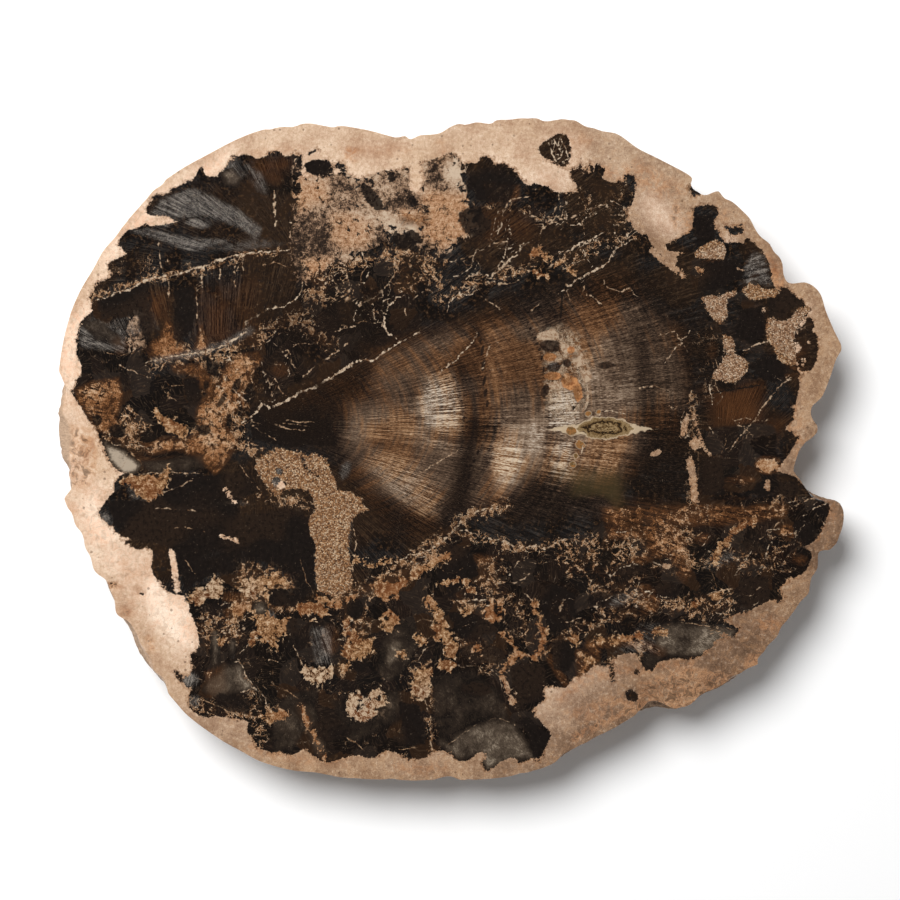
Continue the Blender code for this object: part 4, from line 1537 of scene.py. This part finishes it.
# %% Dark pieces
PIECES_PER_MM = 0.115
FULL_TURN = 6.28
settled = bent(PLACE, 0.09, 5.0)
torn = bent(settled, 0.5, 2.2)
_, (piece_shade, piece_turn, _) = shards(torn, PIECES_PER_MM)
piece_tone = ladder(piece_shade, (0.00, 23, 19, 17), (0.36, 36, 28, 24), (0.58, 52, 36, 25),
                    (0.72, 26, 22, 20), (0.86, 46, 38, 33), hard=True)
turned = add("ShaderNodeVectorRotate", settled, rotation_type="Z_AXIS")
feed(turned.inputs["Angle"], times(piece_turn, FULL_TURN))
streaks = cloud(stretch(turned.outputs[0], (0.16, 1.0, 0.16)), 1.3, 2.0, 0.65)
piece_tone = over(piece_tone, times(ease(streaks, 0.52, 0.74), 0.35), tone(92, 73, 57))
piece_tone = over(piece_tone, times(ease(streaks, 0.46, 0.32), 0.35), BLACK)
broken_share = ease(plus(mark("broken"), swing(gate, 0.8)), 0.30, 0.60)
core = over(core, times(broken_share, 0.9), piece_tone)
tell("crushed wood")

# %% [markdown]
# Between the pieces runs a net of tan stone. It follows the walls of two sets of cells, swells
# into crumbs wherever the noise is high, and has a dull brown glow round it.

# %% Lace and crumbs
tan_stone = ladder(mixed((fine, 0.6), (flecks, 0.4)), (0.36, 64, 43, 29), (0.45, 126, 88, 58),
                   (0.54, 180, 140, 104), (0.63, 226, 200, 170))
lace_zone = plus(mark("lace"), times(mark("broken"), 0.10))
crumb_share = ease(plus(ragged, times(less(lace_zone, 1.0), 0.16), swing(gate, 0.22)), 0.54, 0.575)
net_width = times(lace_zone, ease(plus(lace, swing(gate, 0.3)), 0.42, 0.62), 0.62)
net_share = ease(less(net_width, least(cell_wall, walls(torn, PIECES_PER_MM))), 0.0, 0.16)
lace_share = times(most(crumb_share, net_share), ease(lace_zone, 0.04, 0.2))
glow_share = times(ease(plus(lace_zone, swing(lace, 2.4)), 0.35, 1.1), 0.55)
core = over(core, glow_share, tone(78, 52, 34))
core = over(core, lace_share, tan_stone)
tell("lace")

# %% [markdown]
# ## The mottled patch
#
# Near the upper edge core and rind are mixed through each other: cream and peach stone with grey
# crumbs in it. The fine net draws the crumbs' dark outlines.

# %% Mottles
mottle = plus(mixed((lace, 0.30), (fine, 0.30), (flecks, 0.40)),
              times(mark("mottle_lean"), 0.085), swing(gate, 0.26))
mottle_colour = ladder(mottle, (0.37, 44, 35, 29), (0.44, 92, 72, 57), (0.49, 140, 110, 87),
                       (0.55, 180, 148, 120), (0.68, 218, 194, 168))
crumb_outline = times(ease(cell_wall, 0.30, 0.06), ease(mottle, 0.56, 0.44))
mottle_colour = over(mottle_colour, crumb_outline, tone(50, 40, 34))
peach_share = times(mark("peach"), ease(mottle, 0.38, 0.50), 0.85)
peach_stone = ladder(grit, (0.38, 140, 90, 56), (0.50, 188, 138, 98), (0.62, 222, 184, 148))
mottle_colour = over(mottle_colour, peach_share, peach_stone)
mottle_edge = plus(mark("mottled"), swing(ragged, 1.2), swing(lace, 2.2))
mottle_share = times(ease(mottle_edge, 0.42, 0.56), ease(mark("mottled"), 0.02, 0.25))
core = over(core, mottle_share, mottle_colour)
tell("mottles")

# %% [markdown]
# ## Rust, cloudy grey and clean black
#
# Each colour shows only where its own noise agrees with its mark. That makes rust lacy and leaves
# grey in streaks, instead of laying flat spots over the stone. The dark holes come after the rust,
# because they are open in it.

# %% Rust and dark holes
rust = mark("rust")
silt = mixed((grain, 0.62), (lace, 0.22), (fine, 0.16))
rust_bed = ladder(silt, (0.40, 38, 26, 19), (0.50, 88, 56, 34), (0.60, 140, 92, 56))
core = over(core, times(ease(rust, 0.1, 0.9), 0.6), rust_bed)
rust_level = plus(mixed((ragged, 0.55), (flecks, 0.22), (grain, 0.23)), times(less(rust, 1.0), 0.24))
rust_share = times(ease(rust_level, 0.485, 0.55), ease(rust, 0.05, 0.4), 0.92)
rust_grain = mixed((fine, 0.30), (flecks, 0.26), (gate, 0.22), (grain, 0.22))
rust_stone = ladder(rust_grain, (0.40, 58, 38, 25), (0.46, 112, 72, 43), (0.51, 156, 106, 67),
                    (0.56, 194, 148, 108), (0.64, 224, 190, 156))
core = over(core, rust_share, rust_stone)
hole_share = times(ease(plus(mark("hole"), soft_teeth), -0.3, 0.5), 0.9)
hole_stone = over(tone(26, 21, 18), times(ease(hairs, 0.50, 0.70), 0.6), tone(66, 54, 45))
core = over(core, hole_share, hole_stone)
tell("rust")

# %% Grey, smoke and olive
grey = mark("grey")
grey_share = times(ease(grey, 0.10, 0.95), ease(plus(silt, times(grey, 0.12)), 0.46, 0.68), 0.85)
grey_stone = ladder(mixed((silt, 0.8), (fine, 0.2)), (0.41, 44, 41, 40), (0.50, 96, 90, 85),
                    (0.58, 164, 154, 143))
core = over(core, grey_share, grey_stone)
core = over(core, times(ease(grey, 1.05, 1.40), 0.85), tone(216, 197, 174))
smoke_light = plus(times(mark("smoke"), 0.55), swing(hairs, 0.45), swing(lace, 0.55), swing(fine, 0.30),
                   swing(gate, 0.5))
smoke_stone = ladder(smoke_light, (0.05, 30, 25, 22), (0.35, 56, 46, 38), (0.62, 102, 88, 74),
                     (0.90, 196, 178, 156))
smoke_stone = over(smoke_stone, times(rust, 0.5), tone(96, 68, 48))
core = over(core, times(ease(mark("smoke"), 0.04, 0.45), 0.92), smoke_stone)
core = over(core, times(mark("olive"), ease(slow, 0.40, 0.62), 0.45), tone(92, 78, 50))
tell("grey and smoke")

# %% Clean black and dim wood
black_share = times(ease(plus(mark("black"), swing(ragged, 0.9)), 0.42, 0.60), 0.94)
clean_black = over(tone(33, 27, 24), ease(slow, 0.45, 0.62), tone(46, 35, 28))
clean_black = over(clean_black, times(ease(flecks, 0.50, 0.36), 0.6), BLACK)
core = over(core, black_share, clean_black)
dim_wood = over(tone(26, 20, 17), ease(hairs, 0.5, 0.7), tone(58, 44, 34))
core = over(core, times(mark("dim"), 0.92), dim_wood)
tell("clean black")

# %% [markdown]
# ## The knot
#
# A small branch started here, and its knot shows as a lens with two long white tips and a round
# eye beside it. A lens is where two circles overlap, so its edge is the larger of the distances to
# the two middles, less their radius. These few shapes are drawn in the material, because they are
# finer than the mesh.

# %% Lens and eye
def face_spot(across, down):
    """A place of the straight-down view, in millimetres on the slab."""
    return (across - VIEW_CENTRE[0]) * FACE_STEP_MM, (VIEW_CENTRE[1] - down) * FACE_STEP_MM


def lens_gap(across, down, half_long, half_high):
    """Millimetres outside a level lens; less than nothing inside it."""
    long, high = half_long * FACE_STEP_MM, half_high * FACE_STEP_MM
    radius = (long * long + high * high) / (2 * high)
    x, y = face_spot(across, down)
    above = length(shift(knot_place, (-x, high - radius - y, 0.0)))
    below = length(shift(knot_place, (-x, radius - high - y, 0.0)))
    return less(most(above, below), radius)


def round_gap(across, down, half_size):
    """Millimetres outside a round spot."""
    x, y = face_spot(across, down)
    return less(length(shift(knot_place, (-x, -y, 0.0))), half_size * FACE_STEP_MM)


KNOT_WHITE, KNOT_BROWN = tone(216, 192, 160), tone(118, 92, 58)
EYES = [(571, 431, 5), (580, 445, 4), (576, 456, 2.6), (573, 464, 3.2), (588, 414, 3.2), (599, 412, 2.2)]
knot_place = stretch(net_place, (1.0, 1.0, 0.0))
uneven = swing(ragged, 1.6)
knot_edge = plus(lens_gap(605, 428, 30, 11), uneven)
tips_edge = plus(lens_gap(601, 429, 54, 6), uneven)
core = over(core, times(ease(tips_edge, 0.25, -0.35), 0.85), KNOT_WHITE)
core = over(core, times(ease(knot_edge, 0.55, 0.15), 0.8), KNOT_WHITE)
knot_depth = plus(less(knot_edge, uneven), swing(lace, 5.0))
knot_rings = cloud(join(knot_depth, times(flecks, 1.5)), 0.9, 1.0, 0.65)
knot_inside = ladder(knot_rings, (0.36, 48, 36, 24), (0.47, 92, 68, 42), (0.56, 122, 96, 62),
                     (0.64, 164, 138, 100))
core = over(core, ease(knot_edge, 0.10, -0.35), knot_inside)
for across, down, half_size in EYES:
    eye = plus(round_gap(across, down, half_size), times(uneven, 0.6))
    core = over(core, times(ease(eye, 0.45, 0.1), 0.45), KNOT_WHITE)
    core = over(core, ease(eye, 0.05, -0.25), over(tone(160, 112, 66), ease(flecks, 0.46, 0.58), KNOT_BROWN))
tell("knot")

# %% [markdown]
# ## Healed cracks
#
# A healed crack is drawn from the way to its middle line: its length, less half the thread's
# width, is zero on the thread's edge. The width swells and shrinks with noise, and where the noise
# is low a thread breaks up into beads. The palest threads are the strongest, so they stay whole.

# %% Pale threads
wiggle = stretch(add("ShaderNodeVectorMath", net_place, PLACE, operation="SUBTRACT").outputs[0],
                 (0.8, 0.8, 0.0))
crack_length = plus(length(shift(arrow("crack_way"), wiggle)), swing(ragged, 0.9))
crack_swell = plus(0.20, times(ease(flecks, 0.46, 0.68), 0.36), swing(fine, 0.3))
crack_half = times(mark("crack_width"), crack_swell)
crack_edge = less(crack_half, add("ShaderNodeMath", crack_length, operation="ABSOLUTE").outputs[0])
crack_near = ease(mark("crack_far"), 2.6, 1.5)
crack_whole = ease(plus(gate, times(mark("crack_light"), 0.4)), 0.46, 0.66)
crack_share = times(ease(crack_edge, -0.18, 0.12), crack_near, crack_whole)
crack_tan = over(tone(112, 76, 48), ease(flecks, 0.38, 0.60), tone(172, 136, 102))
crack_bright = times(ease(mark("crack_light"), 0.2, 0.8), ease(grit, 0.40, 0.60))
crack_colour = over(crack_tan, crack_bright, tone(218, 196, 170))
tell("healed cracks")

# %% [markdown]
# ## Lumps, sand and rind
#
# These three have firm edges. Adding noise in millimetres to the depth inside the patch, before
# asking whether it is above zero, gives the edge teeth of that size. The threads run over the
# lumps, and a few bright specks over everything in the core.

# %% Tan lumps
tooth_length = plus(1.6, times(ease(gate, 0.44, 0.64), 3.0))
teeth = plus(swing(flecks, tooth_length), soft_teeth)
lump_share = ease(plus(mark("lump"), times(plus(teeth, swing(lace, 7.0)), 1.2)), -0.2, 0.25)
lump_grain = mixed((flecks, 0.45), (ragged, 0.30), (fine, 0.25))
lump_colour = ladder(lump_grain, (0.38, 40, 28, 20), (0.45, 110, 74, 46), (0.52, 166, 120, 80),
                     (0.58, 202, 162, 122), (0.66, 232, 204, 172))
lump_layers = [
    (times(ease(gate, 0.50, 0.38), ease(lump_grain, 0.60, 0.46), 0.75), tone(112, 66, 38)),
    (times(ease(slow, 0.52, 0.64), 0.35), tone(150, 92, 54)),
    (times(mark("pale"), ease(lump_grain, 0.46, 0.54), 0.7), tone(230, 206, 176)),
]
for share, colour in lump_layers:
    lump_colour = over(lump_colour, share, colour)
core = over(core, times(lump_share, 0.95), lump_colour)
core = over(core, crack_share, crack_colour)
core = over(core, times(ease(dust, 0.66, 0.72), 0.5), tone(190, 166, 138))
tell("tan lumps")

# %% Sand
GRAINS_PER_MM = 1.55
grain_gap, (grain_shade, _, _) = shards(PLACE, GRAINS_PER_MM)
brown_sand = ladder(grain_shade, (0.0, 78, 50, 32), (0.2, 152, 108, 70), (0.55, 190, 142, 98),
                    (0.9, 232, 200, 164))
cream_sand = ladder(grain_shade, (0.0, 120, 84, 58), (0.22, 176, 134, 100), (0.6, 208, 170, 136),
                    (0.9, 232, 204, 174))
sand_colour = over(brown_sand, ease(mark("pale"), 0.3, 0.6), cream_sand)
sand_colour = over(sand_colour, times(ease(grain_gap, 0.34, 0.60), 0.75), tone(78, 54, 38))
sand_colour = over(sand_colour, times(ease(lace, 0.56, 0.44), 0.35), tone(112, 74, 48))
sand_share = ease(plus(mark("sand"), teeth), -0.2, 0.25)
tell("sand")

# %% [markdown]
# The rind is cream on the upper left. Painted shade makes it duller brown towards the right and
# the bottom, most of all towards the lower right, away from the lamp at the upper left, and it is a
# little darker along the top edge. Stains, peach clouds and a darker line along the core's edge lie
# on it, then pits, and two soft clouds of light and dark keep it from looking flat.

# %% Rind
PITS_PER_MM = 0.30
rind_depth = plus(mark("rind"), teeth)
rind_share = ease(rind_depth, -0.14, 0.14)
# Painted shade: this share is 1 towards the right and the bottom, away from the lamp at the upper left.
shaded = most(ease(place_x, 10.0, 95.0), ease(place_y, -72.0, -150.0))
stain_dark = ease(plus(mark("stain"), swing(lace, 2.0)), 0.75, 1.05)
pit_gap, (pit_chance, pit_spread, _) = shards(PLACE, PITS_PER_MM)
pit_edge = ease(less(plus(0.03, times(pit_spread, 0.16)), pit_gap), -0.03, 0.03)
rind_layers = [
    (shaded, tone(182, 147, 117)),
    # More painted shade, darkest towards the lower right corner.
    (times(ease(less(place_x, place_y), 140.0, 215.0), 0.90), tone(134, 103, 79)),
    (times(ease(place_y, 95.0, 140.0), 0.5), tone(214, 182, 152)),
    (times(mark("pale"), 0.85), tone(292, 256, 226)),
    (times(ease(slow, 0.48, 0.70), 0.40), tone(204, 164, 128)),
    (times(ease(ragged, 0.50, 0.64), 0.38), tone(166, 122, 84)),
    (times(ease(flecks, 0.56, 0.72), 0.16), tone(244, 220, 194)),
    (times(ease(cell_wall, 0.20, 0.03), ease(gate, 0.46, 0.66), 0.18), tone(140, 104, 76)),
    (times(mark("peach"), ease(ragged, 0.34, 0.56), 0.75), tone(190, 126, 80)),
    (times(ease(rind_depth, 1.6, 0.1), ease(gate, 0.42, 0.62), 0.7), tone(140, 98, 66)),
    (times(mark("stain"), ease(ragged, 0.36, 0.54), 0.85),
     over(tone(196, 140, 98), stain_dark, tone(92, 68, 50))),
    (times(pit_edge, ease(pit_chance, 0.74, 0.78), ease(gate, 0.40, 0.55), 0.6), tone(106, 78, 56)),
]
rind_colour = tone(252, 214, 182)
for share, colour in rind_layers:
    rind_colour = over(rind_colour, share, colour)
rind_cloud = mixed((gate, 0.35), (lace, 0.40), (flecks, 0.25))
rind_colour = over(rind_colour, 0.38, ease(rind_cloud, 0.31, 0.63), "SOFT_LIGHT")
rind_colour = over(rind_colour, 0.35, ease(dust, 0.30, 0.70), "SOFT_LIGHT")
face_colour = over(over(core, sand_share, sand_colour), rind_share, rind_colour)
tell("rind")

# %% [markdown]
# ## The broken side and the sawn underside
#
# The side is rind that weathered in the ground: dull tan and grey-brown, streaked upright with the
# grain, and painted lighter on the upper left, towards the lamp. The underside shows the same core
# as the face, but only sawn, so it is pale and dusty.

# %% Side and underside
upright = cloud(stretch(PLACE, (1.0, 1.0, 0.16)), 0.55, 3.0, 0.70, solid=True)
side_colour = ladder(upright, (0.32, 96, 70, 50), (0.48, 156, 122, 92), (0.66, 204, 172, 142))
# Painted light: the side turns paler where the painted shade is low, on the upper left towards the lamp.
side_colour = over(side_colour, times(less(1.0, shaded), 0.6), tone(240, 206, 176))
stone_colour = over(face_colour, mark("side"), side_colour)
stone_colour = over(stone_colour, times(mark("underside"), 0.35), tone(150, 134, 118))
tell("side and underside")

# %% [markdown]
# ## Shine and fine relief
#
# The silica took a high polish, sand and rind took less, the side none. The bump heights are in
# millimetres: a fine grit on the rind and the sand, upright ridges on the side. The bump asks for
# its height three times over, so it uses the plain marks and not the toothed edges.

# %% Roughness and bump
BUMP_UNIT = 0.001
shine = blend(plus(0.12, times(flecks, 0.12)), rind_share, 0.46)
shine = blend(shine, sand_share, 0.55)
shine = blend(shine, mark("side"), 0.88)
shine = blend(shine, mark("underside"), 0.80)
relief = times(ease(mark("rind"), -0.4, 0.6), times(fine, 0.30))
relief = plus(relief, times(ease(mark("sand"), -0.4, 0.6), times(fine, 0.25)))
relief = blend(relief, mark("side"), times(upright, 1.3))
bump = add("ShaderNodeBump")
bump.inputs["Strength"].default_value = 1.0
bump.inputs["Distance"].default_value = BUMP_UNIT
feed(bump.inputs["Height"], relief)

stone = add("ShaderNodeBsdfPrincipled")
feed(stone.inputs["Base Color"], stone_colour)
feed(stone.inputs["Roughness"], shine)
feed(stone.inputs["Normal"], bump.outputs[0])
stone.inputs["Specular IOR Level"].default_value = 0.35
output = add("ShaderNodeOutputMaterial", stone.outputs[0])
slab.data.materials.append(petrified)
print("material has", len(nodes), "nodes")

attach(slab, "root")
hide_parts(NODE)
print(PIECE, "stands in for", NODE)

# %% [markdown]
# ## Floor, light and camera
#
# The slab lies on white, seen from straight above. One soft lamp stands at the upper left, so the
# shadow falls to the lower right; a pale surround fills it in. The surround is dark overhead and the
# lamp is kept out of reflections, since mirror-polished black would show both as a grey veil.

# %% Floor
FLOOR_REACH = 3.0
PAPER_WHITE, PAPER_ROUGHNESS = (0.96, 0.96, 0.96, 1.0), 0.9

floor_mesh = bmesh.new()
bmesh.ops.create_grid(floor_mesh, x_segments=1, y_segments=1, size=FLOOR_REACH)
floor_data = bpy.data.meshes.new("floor")
floor_mesh.to_mesh(floor_data)
floor_mesh.free()
floor = bpy.data.objects.new("floor", floor_data)
bpy.context.scene.collection.objects.link(floor)
paper = bpy.data.materials.new("white_paper")
paper.use_nodes = True
paper_shader = paper.node_tree.nodes["Principled BSDF"]
paper_shader.inputs["Base Color"].default_value = PAPER_WHITE
paper_shader.inputs["Roughness"].default_value = PAPER_ROUGHNESS
floor_data.materials.append(paper)
print(f"floor {2 * FLOOR_REACH:.0f} m wide")

# %% Lamp
LAMP_WAY = Vector((-0.309, 0.393, 0.866)).normalized()
LAMP_FAR = 1.9
LAMP_SIZE = 1.04
LAMP_POWER = 43.5

lamp_data = bpy.data.lights.new("upper_left_lamp", "AREA")
lamp_data.shape = "DISK"
lamp_data.size = LAMP_SIZE
lamp_data.energy = LAMP_POWER
lamp = bpy.data.objects.new("upper_left_lamp", lamp_data)
bpy.context.scene.collection.objects.link(lamp)
lamp.location = LAMP_WAY * LAMP_FAR
lamp.rotation_euler = LAMP_WAY.to_track_quat("Z", "Y").to_euler()
lamp.visible_glossy = False
print(f"lamp {LAMP_SIZE} m wide, {LAMP_FAR} m away")

# %% Surround
SURROUND, OVERHEAD = 0.46, 0.02
FADE_START, FADE_END = 0.72, 0.93

world = bpy.data.worlds.new("surround")
world.use_nodes = True
bpy.context.scene.world = world
sky_nodes, sky_links = world.node_tree.nodes, world.node_tree.links
sky_nodes.clear()
sky_way = sky_nodes.new("ShaderNodeTexCoord")
sky_split = sky_nodes.new("ShaderNodeSeparateXYZ")
sky_links.new(sky_way.outputs["Generated"], sky_split.inputs[0])
sky_fade = sky_nodes.new("ShaderNodeMapRange")
sky_fade.interpolation_type = "SMOOTHSTEP"
for socket, value in zip(list(sky_fade.inputs)[1:5], (FADE_START, FADE_END, SURROUND, OVERHEAD)):
    socket.default_value = value
sky_links.new(sky_split.outputs[2], sky_fade.inputs[0])
sky_light = sky_nodes.new("ShaderNodeBackground")
sky_links.new(sky_fade.outputs[0], sky_light.inputs["Strength"])
sky_out = sky_nodes.new("ShaderNodeOutputWorld")
sky_links.new(sky_light.outputs[0], sky_out.inputs[0])
print("surround", SURROUND, "low down and", OVERHEAD, "overhead")

# %% Camera
CAMERA_PLACE = (0.00016, -0.00032, 1.003)

camera_data = bpy.data.cameras.new("overhead")
camera_data.lens = 85.0
camera_data.sensor_width = 36.0
camera = bpy.data.objects.new("overhead", camera_data)
bpy.context.scene.collection.objects.link(camera)
camera.location = CAMERA_PLACE
bpy.context.scene.camera = camera
bpy.context.scene.view_settings.view_transform = "Standard"
print("camera at", CAMERA_PLACE)
